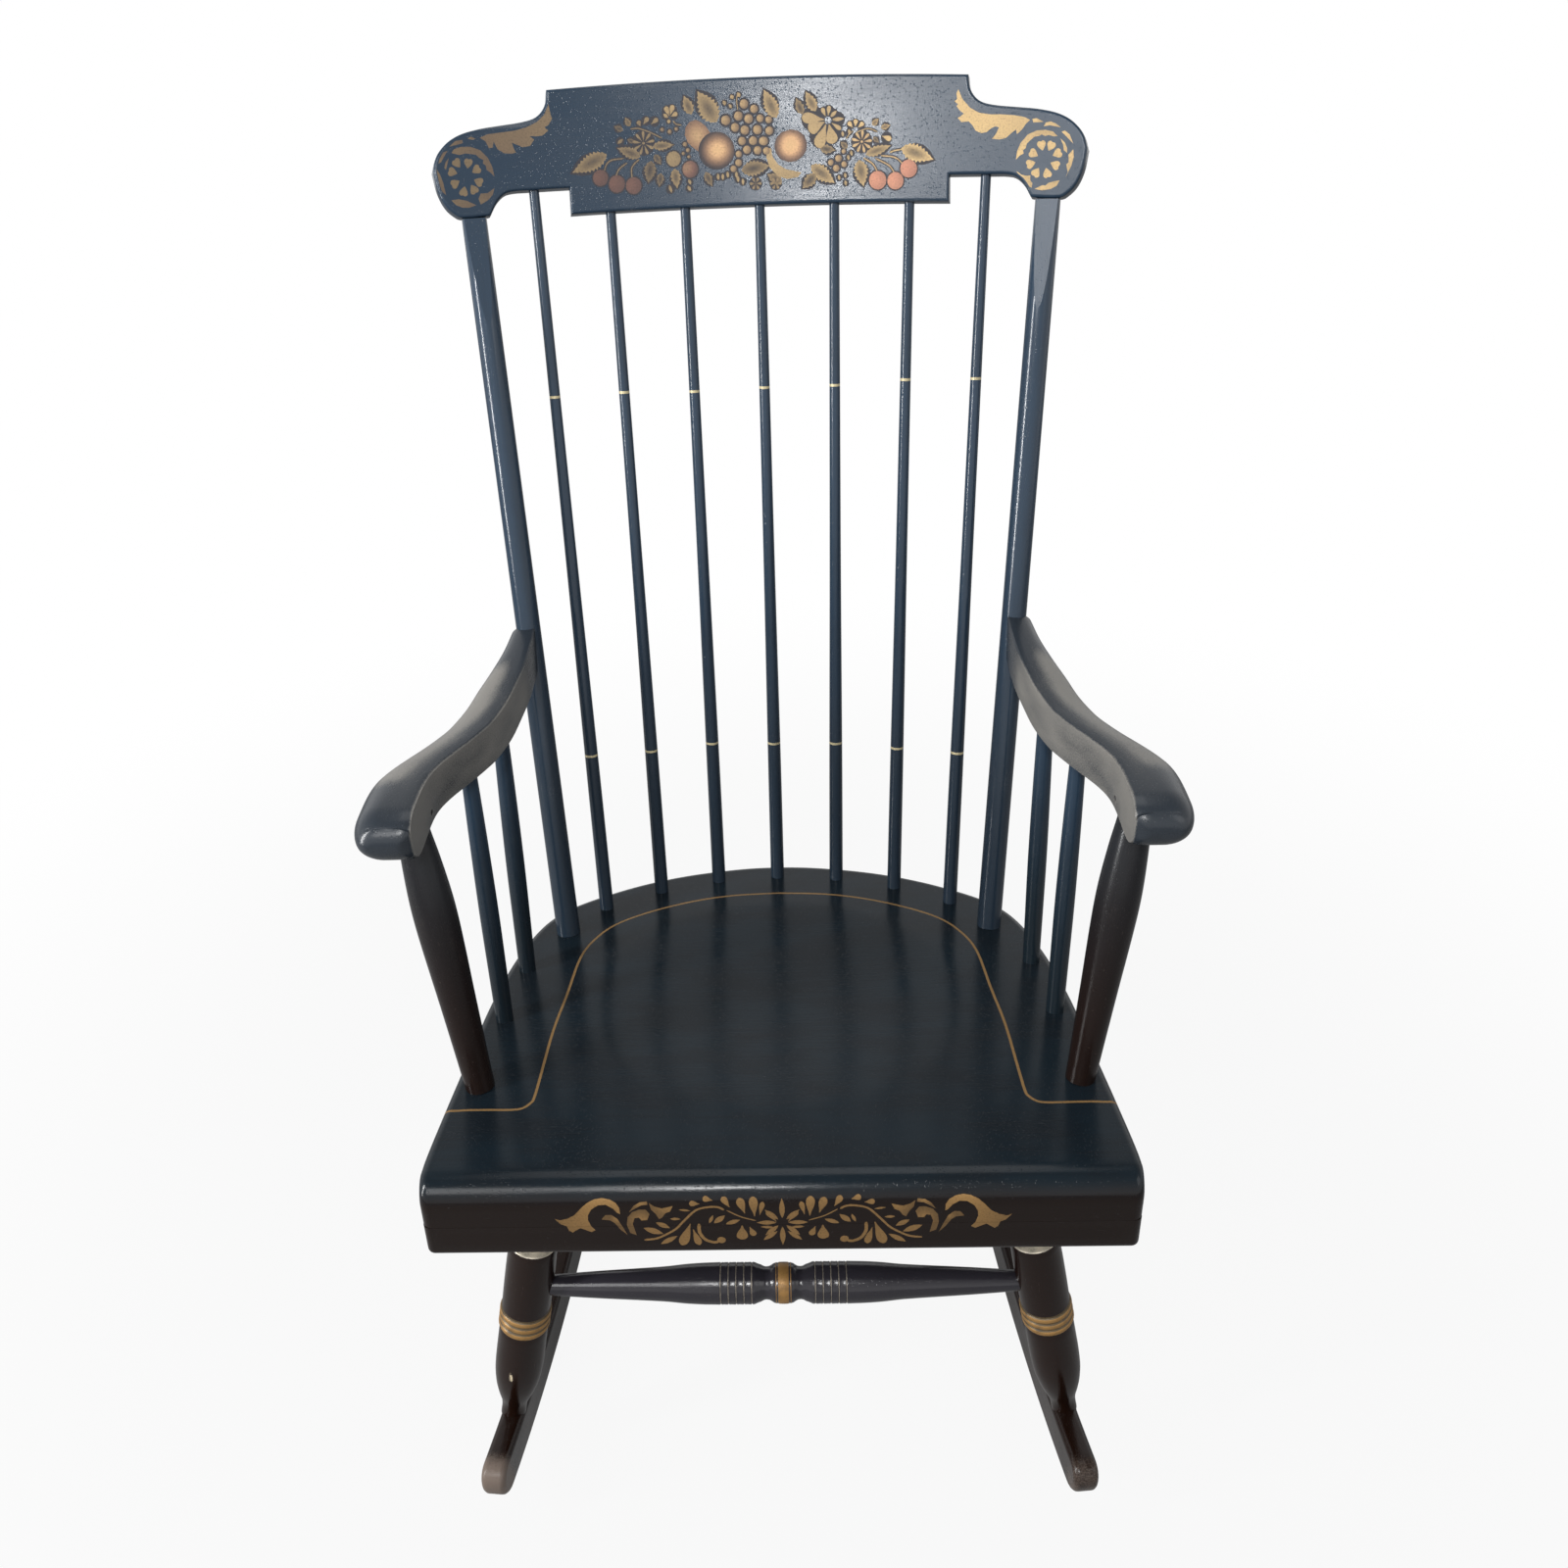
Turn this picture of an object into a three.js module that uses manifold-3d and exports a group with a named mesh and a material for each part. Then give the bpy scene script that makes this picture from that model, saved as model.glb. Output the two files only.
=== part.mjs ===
// Rocking chair with a bent crest rail, seven back spindles and scrolled arms.
// Millimetres, +Z up, +Y towards the back, +X to the right as seen from the front.
// The origin is on the floor, under the middle of the chair's outer box.
import * as THREE from 'three';
import { mergeVertices } from 'three/addons/utils/BufferGeometryUtils.js';
import Module from 'manifold-3d';

const wasm = await Module();
wasm.setup();

// Clearances
const clearance = 0.3;          // between a piece and the piece that it seats in or on
const overrun = 5;              // how far a cutting shape runs past the surface it opens

// Seat board
const seatWidth = 549;
const seatDepth = 452;
const seatHeight = 418;         // top of the seat at its front edge, above the floor
const seatPitch = THREE.MathUtils.degToRad(4.3);
const seatThickness = 39;
const seatEdgeRadius = 7;
const seatRollRadius = 21;
const dishDepth = 5;
const dishHalfWidth = 168;
const dishHalfDepth = 150;
const dishSetback = 232;
// half width as a share of seatWidth / 2, depth as a share of seatDepth
const seatOutlineShares = [
  [0.996, 0.0], [1.0, 0.07], [0.986, 0.2], [0.971, 0.315], [0.949, 0.488], [0.913, 0.635],
  [0.862, 0.745], [0.8, 0.815], [0.71, 0.865], [0.54, 0.925], [0.36, 0.967], [0.16, 0.993],
];

// Strip glued under the seat's front edge
const rollHeight = 27;
const rollDepth = 56;
const rollCornerRadius = 6;
const rollBackChamfer = 14;

// Back: stiles, spindles and crest rail
const stileSeatInset = 71;      // from the seat's widest line
const stileSeatSetback = 114;   // from the seat's back edge
const stileBaseRadius = 11.2;
const stileMiddleRadius = 10.8;
const stileTopRadius = 10.2;
const stileSeatTenon = 27;
const stileTenonRadius = 5.6;
const stileTenonLength = 20;
const stileFlatLength = 74;     // shaved tongue below the crest rail
const stileFlatInset = 4.6;
const backArcRadius = 300;      // spindle sockets lie on this arc in the seat
const backArcSetback = 20;      // middle socket, from the seat's back edge
const spindleSpacing = 60.5;
const spindleBaseRadius = 6.8;
const spindleMiddleRadius = 5.3;
const spindleTopRadius = 4.2;
const spindleSeatTenon = 22;
const spindleCrestTenon = 15;
const spindlesPerSide = 3;
const crestSpindleSpacing = 62.2;

const crestBendRadius = 795;
const crestTilt = THREE.MathUtils.degToRad(17);
const crestThickness = 17;
const crestOverhang = 71.5;     // front face at its middle, behind the seat's back edge
const crestRise = 600;          // lower edge above the seat
const crestHeight = 95.5;
const crestCrown = 2.5;
const crestTopHalf = 172;
const crestStepHalf = 157.5;
const crestStepHeight = 20.5;
const crestEdgeRadius = 1.8;
const earReach = 267.5;
const earStileSpacing = 237;
const earBottom = 3.5;
// upper edge past the top corner: share of the way to the ear's end, share of crestHeight
const earTopShares = [
  [0.0, 1.0], [0.015, 0.897], [0.06, 0.825], [0.13, 0.781], [0.25, 0.758], [0.42, 0.744],
  [0.58, 0.73], [0.73, 0.702], [0.84, 0.656], [0.92, 0.592], [0.97, 0.523], [1.0, 0.425],
];
// lower edge from the step to the ear's end: share of the way, share of crestHeight
const earBottomShares = [
  [0.0, 0.215], [0.3, 0.218], [0.42, 0.218], [0.49, 0.2], [0.55, 0.138], [0.6, 0.042],
  [0.615, 0.037], [0.88, 0.037], [0.94, 0.092], [0.975, 0.195], [1.0, 0.425],
];

// Arms
const armBackSetback = 43;      // back end, from the seat's back edge
const armLength = 296;
const armInnerInset = 63.5;     // inner face at the stile, from the seat's widest line
const armSweep = 50;            // how far the inner face sweeps outwards
const armNoseWidth = 46;
const armThickness = 37;
const armRise = 257;            // top above the seat's front edge
const armBackRise = 14;
const armRisePower = 1.5;
const armNoseLength = 37;
const armNoseFullness = 2.5;
const armNoseDomeShare = 0.55;
// share of armLength from the back, share of armSweep, share of armNoseWidth
const armPlanShares = [
  [0.0, 0.0, 0.52], [0.1, 0.0, 0.6], [0.2, 0.02, 0.71], [0.3, 0.08, 0.79], [0.4, 0.155, 0.83],
  [0.5, 0.3, 0.86], [0.55, 0.415, 0.865], [0.6, 0.55, 0.875], [0.65, 0.7, 0.885],
  [0.7, 0.84, 0.895], [0.75, 0.94, 0.93], [0.8, 0.985, 0.975], [0.87, 1.0, 1.0], [1.0, 1.0, 1.0],
];
// section: share of the width from the inner face, share of half the thickness from the middle
const armSectionShares = [
  [0.0, -0.86], [0.06, -1.0], [0.3, -1.0], [0.56, -1.0], [0.79, -0.9], [0.94, -0.6], [1.0, -0.1],
  [0.985, 0.3], [0.89, 0.66], [0.7, 0.87], [0.45, 0.97], [0.2, 1.0], [0.05, 0.99], [0.0, 0.9],
];
const armDowelRadius = 4;
const armDowelLength = 28;

// Arm posts and arm spindles
const postSeatInset = 28;       // from the seat's widest line
const postSeatDepth = 116.5;
const postArmInset = 17;        // from the arm's inner face
const postNoseSetback = 59;     // from the front end of the arm
const postBaseRadius = 12;
const postBellyRadius = 17;
const postTopRadius = 12.6;
const postTenonRadius = 7;
const postTenonLength = 20;
const postSeatTenon = 26;
// share of the way up from the seat to the arm, share of the swelling from postBaseRadius
const postSwellShares = [
  [0.05, 0.06], [0.33, 0.5], [0.6, 0.98], [0.72, 1.0], [0.86, 0.62], [0.97, 0.14],
];
const postPinRadius = 1.6;
const postPinHeight = 8;
const postPinRecess = 2.5;
const postPinLength = 24;
const frontSpindleSeatInset = 32.5;
const frontSpindleSeatDepth = 204.5;
const frontSpindleNoseSetback = 133;
const frontSpindleArmInset = 15.5;
const rearSpindleSeatInset = 40.7;
const rearSpindleSeatDepth = 278;
const rearSpindleNoseSetback = 199;
const rearSpindleArmInset = 17;
const armSpindleBaseRadius = 7.6;
const armSpindleBellyRadius = 8.2;
const armSpindleTopRadius = 6.4;
const armSpindleArmTenon = 17;
const armSpindleSeatTenon = 20;

// Rockers
const rockerRadius = 1000;
const rockerThickness = 22;
const rockerHeight = 44;
const rockerEndHeight = 36;
const rockerBalance = 275.2;    // point that touches the floor at rest, from the seat's front
const rockerInset = 42.2;       // middle of a rocker there, from the seat's widest line
const rockerSplay = THREE.MathUtils.degToRad(4.87);
const rockerFrontReach = 297;
const rockerBackReach = 405;
const rockerFacet = 26;
const rockerEdgeRadius = 3;
const rockerPinRadius = 2;
const rockerPinDepth = 9;
const rockerPinRecess = 0.6;

// Legs
const frontLegSeatInset = 82;
const frontLegSeatDepth = 90;
const frontLegRockerReach = 221;
const backLegSeatInset = 116.5;
const backLegSeatSetback = 90;
const backLegRockerReach = 157;
const legNeckRadius = 14;
const legSeatTenon = 25;
const legTenonRadius = 6.5;
const legTenonLength = 18;
const legAnkleRadius = 11.3;
const legAnkleSink = 6;
const legShoulderHeight = 204;  // along the leg, from the rocker's top edge
const legShoulderRadius = 20.8;
const legRingHeight = 112;
const legRingRadius = 22.6;
const legRingSpacing = 8.6;
const legRingFlatShare = 0.4;
const legRingCount = 3;
const legBulbHeight = 68;
const legBulbRadius = 21.4;
const legCalfHeight = 38;
const legCalfRadius = 18.6;
const legInstepHeight = 16;
const legInstepRadius = 12.4;

// Stretchers
const stretcherTenon = 15;
const frontStretcherHeight = 154; // along the leg, from the rocker's top edge
const frontStretcherEndRadius = 8;
const bandRadius = 17;
const bandHalfWidth = 8.4;
const bandNeckRadius = 13.4;
const bandNeckReach = 15;
const bulbShoulderRadius = 15.6;
const bulbShoulderReach = 21.5;
const bulbRadius = 17.3;
const bulbGroove = 0.7;
const bulbGrooveSpacing = 6.7;
const bulbGrooveCount = 5;
const bulbGrooveStart = 24;
const bulbTaperReach = 84;
const bulbTaperRadius = 16;
const sideStretcherHeight = 183;
const backStretcherHeight = 150;
const plainStretcherEndRadius = 7.6;
const plainStretcherRadius = 11.6;
const plainStretcherFullShare = 0.9;

// Counts of sides and steps
const spindleSides = 10;
const stileSides = 16;
const legSides = 12;
const stretcherSides = 12;
const dowelSides = 8;
const dishSides = 28;
const dishSteps = 4;
const edgeSteps = 3;
const armSteps = 13;
const splineSteps = 3;
const noseSteps = 5;
const crestMiddleSteps = 8;
const crestStepSteps = 1;
const crestWallSteps = 2;
const crestNeckSteps = 9;
const crestEarSteps = 8;

const finishes = {
  upper: { color: 0x1b2631, roughness: 0.36, metalness: 0 },
  seat: { color: 0x12191f, roughness: 0.32, metalness: 0 },
  lower: { color: 0x211814, roughness: 0.4, metalness: 0 },
  steel: { color: 0x4a4744, roughness: 0.5, metalness: 0.9 },
  dowel: { color: 0xb08d5c, roughness: 0.7, metalness: 0 },
};

// Places derived from the sizes above

const seatHalf = seatWidth / 2;
const stileSeatX = seatHalf - stileSeatInset;
const stileSeatDepth = seatDepth - stileSeatSetback;
const backArcDepth = seatDepth - backArcSetback;
const crestFaceDepth = seatDepth + crestOverhang;
const crestFaceHeight = seatHeight + crestRise;
const armBackReach = seatDepth - armBackSetback;
const armNoseReach = armBackReach - armLength;
const postArmReach = armNoseReach + postNoseSetback;
const armInnerX = seatHalf - armInnerInset;
const armTopHeight = seatHeight + armRise;
const postSeatX = seatHalf - postSeatInset;
const rockerBalanceX = seatHalf - rockerInset;

const armSpindles = [
  {
    name: 'front',
    seatX: seatHalf - frontSpindleSeatInset,
    seatDepth: frontSpindleSeatDepth,
    armReach: armNoseReach + frontSpindleNoseSetback,
    armInset: frontSpindleArmInset,
  },
  {
    name: 'rear',
    seatX: seatHalf - rearSpindleSeatInset,
    seatDepth: rearSpindleSeatDepth,
    armReach: armNoseReach + rearSpindleNoseSetback,
    armInset: rearSpindleArmInset,
  },
];

const legs = [
  {
    name: 'front',
    seatX: seatHalf - frontLegSeatInset,
    seatDepth: frontLegSeatDepth,
    rockerReach: -frontLegRockerReach,
  },
  {
    name: 'back',
    seatX: seatHalf - backLegSeatInset,
    seatDepth: seatDepth - backLegSeatSetback,
    rockerReach: backLegRockerReach,
  },
];

// Solids and booleans

// Merges shared corners and drops triangles that have shrunk to a line.
function welded(geometry) {
  const bare = geometry.clone();
  bare.deleteAttribute('normal');
  bare.deleteAttribute('uv');
  const merged = mergeVertices(bare);
  const index = merged.index.array;
  const kept = [];
  for (let i = 0; i < index.length; i += 3) {
    const [a, b, c] = [index[i], index[i + 1], index[i + 2]];
    if (a !== b && b !== c && c !== a) kept.push(a, b, c);
  }
  merged.setIndex(kept);
  return merged;
}

function toSolid(geometry) {
  const body = welded(geometry);
  const mesh = new wasm.Mesh({
    numProp: 3,
    vertProperties: new Float32Array(body.attributes.position.array),
    triVerts: new Uint32Array(body.index.array),
  });
  return new wasm.Manifold(mesh);
}

function toGeometry(solid) {
  const mesh = solid.getMesh();
  const geometry = new THREE.BufferGeometry();
  geometry.setAttribute('position', new THREE.BufferAttribute(mesh.vertProperties, 3));
  geometry.setIndex(new THREE.BufferAttribute(mesh.triVerts, 1));
  geometry.computeVertexNormals();
  return geometry;
}

function cut(geometry, tools) {
  let solid = toSolid(geometry);
  for (const tool of tools) solid = solid.subtract(toSolid(tool));
  return toGeometry(solid);
}

// Skins a closed body over rings of equal length; the end rings close as fans.
function loft(rings) {
  const count = rings[0].length;
  const points = rings.flat();
  const index = [];
  for (let r = 0; r + 1 < rings.length; r += 1) {
    for (let i = 0; i < count; i += 1) {
      const next = (i + 1) % count;
      const [here, above] = [r * count, (r + 1) * count];
      index.push(here + i, here + next, above + next, here + i, above + next, above + i);
    }
  }
  for (const [start, turn] of [[0, -1], [(rings.length - 1) * count, 1]]) {
    const centre = new THREE.Vector3();
    for (let i = 0; i < count; i += 1) centre.addScaledVector(points[start + i], 1 / count);
    points.push(centre);
    for (let i = 0; i < count; i += 1) {
      const next = start + (i + 1) % count;
      if (turn > 0) index.push(points.length - 1, start + i, next);
      else index.push(points.length - 1, next, start + i);
    }
  }
  const geometry = new THREE.BufferGeometry().setFromPoints(points);
  geometry.setIndex(index);
  return facingOut(geometry);
}

function facingOut(geometry) {
  const { array } = geometry.attributes.position;
  const index = geometry.index.array;
  const corner = (i) => new THREE.Vector3().fromArray(array, 3 * index[i]);
  let volume = 0;
  for (let i = 0; i < index.length; i += 3) {
    volume += corner(i).dot(corner(i + 1).cross(corner(i + 2)));
  }
  if (volume < 0) {
    const flipped = [];
    for (let i = 0; i < index.length; i += 3) flipped.push(index[i], index[i + 2], index[i + 1]);
    geometry.setIndex(flipped);
  }
  return geometry;
}

function mirrored(geometry) {
  return facingOut(welded(geometry).scale(-1, 1, 1));
}

// Stands an outline of (depth, up) in the YZ plane, with its extrusion across X.
const acrossX = new THREE.Matrix4().makeBasis(
  new THREE.Vector3(0, 1, 0),
  new THREE.Vector3(0, 0, 1),
  new THREE.Vector3(1, 0, 0),
);

function extrudedAcross(shape, length) {
  const options = { depth: length, bevelEnabled: false, curveSegments: 2 * edgeSteps };
  const geometry = new THREE.ExtrudeGeometry(shape, options);
  return geometry.translate(0, 0, -length / 2).applyMatrix4(acrossX);
}

// Smooth curve through pairs of shares, as a list of Vector2.
function smooth(shares, steps) {
  const curve = new THREE.SplineCurve(shares.map(([a, b]) => new THREE.Vector2(a, b)));
  return curve.getPoints(steps * (shares.length - 1));
}

// Value of a curve, given as points in order of x, at one x.
function valueAt(points, x) {
  for (let i = 1; i < points.length; i += 1) {
    const [a, b] = [points[i - 1], points[i]];
    if (x <= b.x) return THREE.MathUtils.mapLinear(x, a.x, b.x, a.y, b.y);
  }
  return points[points.length - 1].y;
}

// Turned work: a profile of [radius, distance along the axis] from start to end.
function turned(profile, sides) {
  const points = profile.map(([radius, along]) => new THREE.Vector2(radius, along));
  points.unshift(new THREE.Vector2(0, points[0].y));
  points.push(new THREE.Vector2(0, points[points.length - 1].y));
  return welded(new THREE.LatheGeometry(points, sides));
}

// Placement of turned work whose axis runs from start to end.
function alongAxis(start, end) {
  const direction = end.clone().sub(start).normalize();
  const turn = new THREE.Quaternion().setFromUnitVectors(new THREE.Vector3(0, 1, 0), direction);
  return new THREE.Matrix4().compose(start, turn, new THREE.Vector3(1, 1, 1));
}

// A straight rod from start to end, used as a pin and as the tool that bores its hole.
function rod(start, end, radius, sides) {
  const length = start.distanceTo(end);
  return turned([[radius, 0], [radius, length]], sides).applyMatrix4(alongAxis(start, end));
}

// Holes for the two ends of a turned piece: grown by the clearance, out past the mouth.
function startSocket(start, end, radius, depth, sides) {
  const direction = end.clone().sub(start).normalize();
  const floor = start.clone().addScaledVector(direction, -clearance);
  const mouth = start.clone().addScaledVector(direction, depth + radius + clearance);
  return rod(floor, mouth, radius + clearance, sides);
}

function endSocket(start, end, radius, depth, sides) {
  const direction = end.clone().sub(start).normalize();
  const mouth = end.clone().addScaledVector(direction, -depth - radius - clearance);
  const floor = end.clone().addScaledVector(direction, clearance);
  return rod(mouth, floor, radius + clearance, sides);
}

const chair = new THREE.Group();

function addPiece(name, geometry, finish, matrix = new THREE.Matrix4()) {
  const piece = new THREE.Mesh(geometry, new THREE.MeshStandardMaterial(finishes[finish]));
  piece.name = name;
  matrix.decompose(piece.position, piece.quaternion, piece.scale);
  chair.add(piece);
}

const sideName = (side) => (side < 0 ? 'left' : 'right');
const sides = [-1, 1];

// Frames

const seatFrame = new THREE.Matrix4().makeRotationX(-seatPitch);
const rollDrop = (seatThickness + rollHeight) * Math.sin(seatPitch);
seatFrame.setPosition(0, rollDrop, seatHeight);
const seatPoint = (x, depth, up) => new THREE.Vector3(x, depth, up).applyMatrix4(seatFrame);

// Point on the crest rail: along its bend, up its face and behind its front face.
function crestPoint(along, up, behind) {
  const angle = along / crestBendRadius;
  const reach = crestBendRadius + behind * Math.cos(crestTilt);
  const rise = up * Math.cos(crestTilt) - behind * Math.sin(crestTilt);
  const lean = up * Math.sin(crestTilt);
  return new THREE.Vector3(
    reach * Math.sin(angle),
    crestFaceDepth + reach * Math.cos(angle) - crestBendRadius + lean,
    crestFaceHeight + rise,
  );
}

function rockerFrame(side) {
  const frame = new THREE.Matrix4().makeRotationZ(side * rockerSplay);
  return frame.setPosition(side * rockerBalanceX, rockerBalance, 0);
}

const rockerStep = rockerFacet / rockerRadius;
const rockerLift = rockerRadius * (1 - Math.cos(rockerStep / 2));

// Height of the rocker's lower edge, and of its upper edge, at a distance from the balance point.
function rockerBottom(reach) {
  return rockerRadius - Math.sqrt(rockerRadius ** 2 - reach ** 2) - rockerLift;
}

function rockerTop(reach) {
  const share = (reach / rockerBackReach) ** 2;
  return rockerBottom(reach) + THREE.MathUtils.lerp(rockerHeight, rockerEndHeight, share);
}

// Rockers

function rockerShape() {
  const shape = new THREE.Shape();
  const lower = [];
  const endRadius = rockerEndHeight / 2;
  const first = -Math.floor((rockerFrontReach - endRadius) / rockerFacet);
  const last = Math.floor((rockerBackReach - endRadius) / rockerFacet);
  for (let k = first; k <= last; k += 1) {
    const reach = rockerRadius * Math.sin((k - Math.sign(k) / 2) * rockerStep);
    if (k !== 0) lower.push([reach, rockerBottom(reach)]);
  }
  const outline = lower.map(([reach, height]) => new THREE.Vector2(reach, height));
  const ends = [lower[lower.length - 1], lower[0]];
  const upper = lower.map(([reach]) => new THREE.Vector2(reach, rockerTop(reach))).reverse();
  outline.push(...roundEnd(ends[0][0], rockerBackReach, 1), ...upper);
  outline.push(...roundEnd(ends[1][0], -rockerFrontReach, -1));
  shape.setFromPoints(outline);
  return shape;
}

// Half round that closes a rocker between its lower and upper edge.
function roundEnd(from, tip, turn) {
  const points = [];
  const steps = edgeSteps + 2;
  for (let i = 1; i < steps; i += 1) {
    const angle = -Math.PI / 2 + (Math.PI * i) / steps;
    const reach = THREE.MathUtils.lerp(from, tip, Math.cos(angle));
    const middle = (rockerBottom(reach) + rockerTop(reach)) / 2;
    const half = (rockerTop(from) - rockerBottom(from)) / 2;
    points.push(new THREE.Vector2(reach, middle + turn * half * Math.sin(angle)));
  }
  return points;
}

function rockerBoard(grow) {
  const depth = rockerThickness + 2 * grow - 2 * rockerEdgeRadius;
  const board = new THREE.ExtrudeGeometry(rockerShape(), {
    depth,
    bevelThickness: rockerEdgeRadius,
    bevelSize: rockerEdgeRadius,
    bevelOffset: grow - rockerEdgeRadius,
    bevelSegments: 1,
    steps: 1,
  });
  return board.translate(0, 0, -depth / 2).applyMatrix4(acrossX);
}

// Legs

function legLine(leg, side) {
  const foot = new THREE.Vector3(0, leg.rockerReach, rockerTop(leg.rockerReach));
  foot.applyMatrix4(rockerFrame(side));
  const hip = seatPoint(side * leg.seatX, leg.seatDepth, -seatThickness);
  const direction = hip.clone().sub(foot).normalize();
  const tip = hip.clone().addScaledVector(direction, legSeatTenon);
  const heel = foot.clone().addScaledVector(direction, -legTenonLength);
  return { foot, hip, direction, tip, heel };
}

function legPoint(leg, side, height) {
  const { foot, direction } = legLine(leg, side);
  return foot.addScaledVector(direction, height);
}

// Radius of a leg at a height above the rocker, below its shoulder.
function legRadiusAt(height) {
  const curve = [
    new THREE.Vector2(legBulbHeight, legBulbRadius),
    new THREE.Vector2(legShoulderHeight, legShoulderRadius),
  ];
  return valueAt(curve, height);
}

function legProfile(length) {
  const profile = [
    [legAnkleRadius, -legAnkleSink],
    [legAnkleRadius, legAnkleSink],
    [legInstepRadius, legInstepHeight],
    [legCalfRadius, legCalfHeight],
    [legBulbRadius, legBulbHeight],
  ];
  const bandStart = legRingHeight - (legRingCount * legRingSpacing) / 2;
  for (let k = 0; k < legRingCount; k += 1) {
    const base = bandStart + k * legRingSpacing;
    profile.push([legRadiusAt(base), base]);
    profile.push([legRingRadius, base + (legRingSpacing * (1 - legRingFlatShare)) / 2]);
    profile.push([legRingRadius, base + (legRingSpacing * (1 + legRingFlatShare)) / 2]);
  }
  profile.push([legRadiusAt(bandStart), bandStart + legRingCount * legRingSpacing]);
  profile.push([legShoulderRadius, legShoulderHeight]);
  profile.push([legNeckRadius, legShoulderHeight]);
  profile.push([legNeckRadius, length]);
  return profile;
}

// Stretchers lie between two legs, at a height along each

function stretcherLine(from, to) {
  const direction = to.clone().sub(from).normalize();
  return { start: from, end: to, direction, length: from.distanceTo(to) };
}

const stretchers = [];
for (const leg of legs) {
  const front = leg.name === 'front';
  const height = front ? frontStretcherHeight : backStretcherHeight;
  stretchers.push({
    name: `${leg.name}_stretcher`,
    legs: [`${leg.name}_left`, `${leg.name}_right`],
    ...stretcherLine(legPoint(leg, -1, height), legPoint(leg, 1, height)),
    turned: front,
    endRadius: front ? frontStretcherEndRadius : plainStretcherEndRadius,
  });
}
for (const side of sides) {
  stretchers.push({
    name: `side_stretcher_${sideName(side)}`,
    legs: legs.map((leg) => `${leg.name}_${sideName(side)}`),
    ...stretcherLine(...legs.map((leg) => legPoint(leg, side, sideStretcherHeight))),
    turned: false,
    endRadius: plainStretcherEndRadius,
  });
}

// Half of the front stretcher's profile, from its middle band out to where the plain end starts.
function bandProfile() {
  const profile = [
    [bandRadius, bandHalfWidth / 2],
    [bandRadius - bulbGroove, bandHalfWidth],
    [bandNeckRadius, bandNeckReach],
    [bulbShoulderRadius, bulbShoulderReach],
  ];
  for (let k = 0; k < bulbGrooveCount; k += 1) {
    const middle = bulbGrooveStart + (k + 0.5) * bulbGrooveSpacing;
    profile.push([bulbRadius, middle - bulbGroove]);
    profile.push([bulbRadius - bulbGroove, middle]);
    profile.push([bulbRadius, middle + bulbGroove]);
  }
  profile.push([bulbTaperRadius, bulbTaperReach]);
  return profile;
}

function stretcherProfile(stretcher) {
  const half = stretcher.length / 2;
  const tip = legNeckRadius - stretcherTenon + clearance;
  const outer = [stretcher.endRadius, half - legShoulderRadius];
  const end = [stretcher.endRadius, half - tip - clearance * 2];
  const plain = [[plainStretcherRadius, 0], [plainStretcherRadius * plainStretcherFullShare, half / 2]];
  const halfProfile = [...(stretcher.turned ? bandProfile() : plain), outer, end];
  const offCentre = halfProfile.filter(([, reach]) => reach > 0);
  const back = offCentre.map(([radius, reach]) => [radius, half - reach]);
  const forward = halfProfile.map(([radius, reach]) => [radius, half + reach]);
  return [...back.reverse(), ...forward];
}

for (const stretcher of stretchers) {
  const profile = stretcherProfile(stretcher);
  const matrix = alongAxis(stretcher.start, stretcher.end);
  addPiece(stretcher.name, turned(profile, stretcherSides), 'lower', matrix);
  const [, near] = profile[0];
  const [, far] = profile[profile.length - 1];
  const { start, direction } = stretcher;
  stretcher.ends = [near, far].map((along) => start.clone().addScaledVector(direction, along));
}

// Holes that stretchers need in one leg.
function stretcherSockets(legName) {
  const tools = [];
  for (const stretcher of stretchers) {
    const at = stretcher.legs.indexOf(legName);
    if (at < 0) continue;
    const socket = at === 0 ? startSocket : endSocket;
    const depth = legShoulderRadius + overrun;
    tools.push(socket(...stretcher.ends, stretcher.endRadius, depth, stretcherSides));
  }
  return tools;
}

const seatTools = [];

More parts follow.
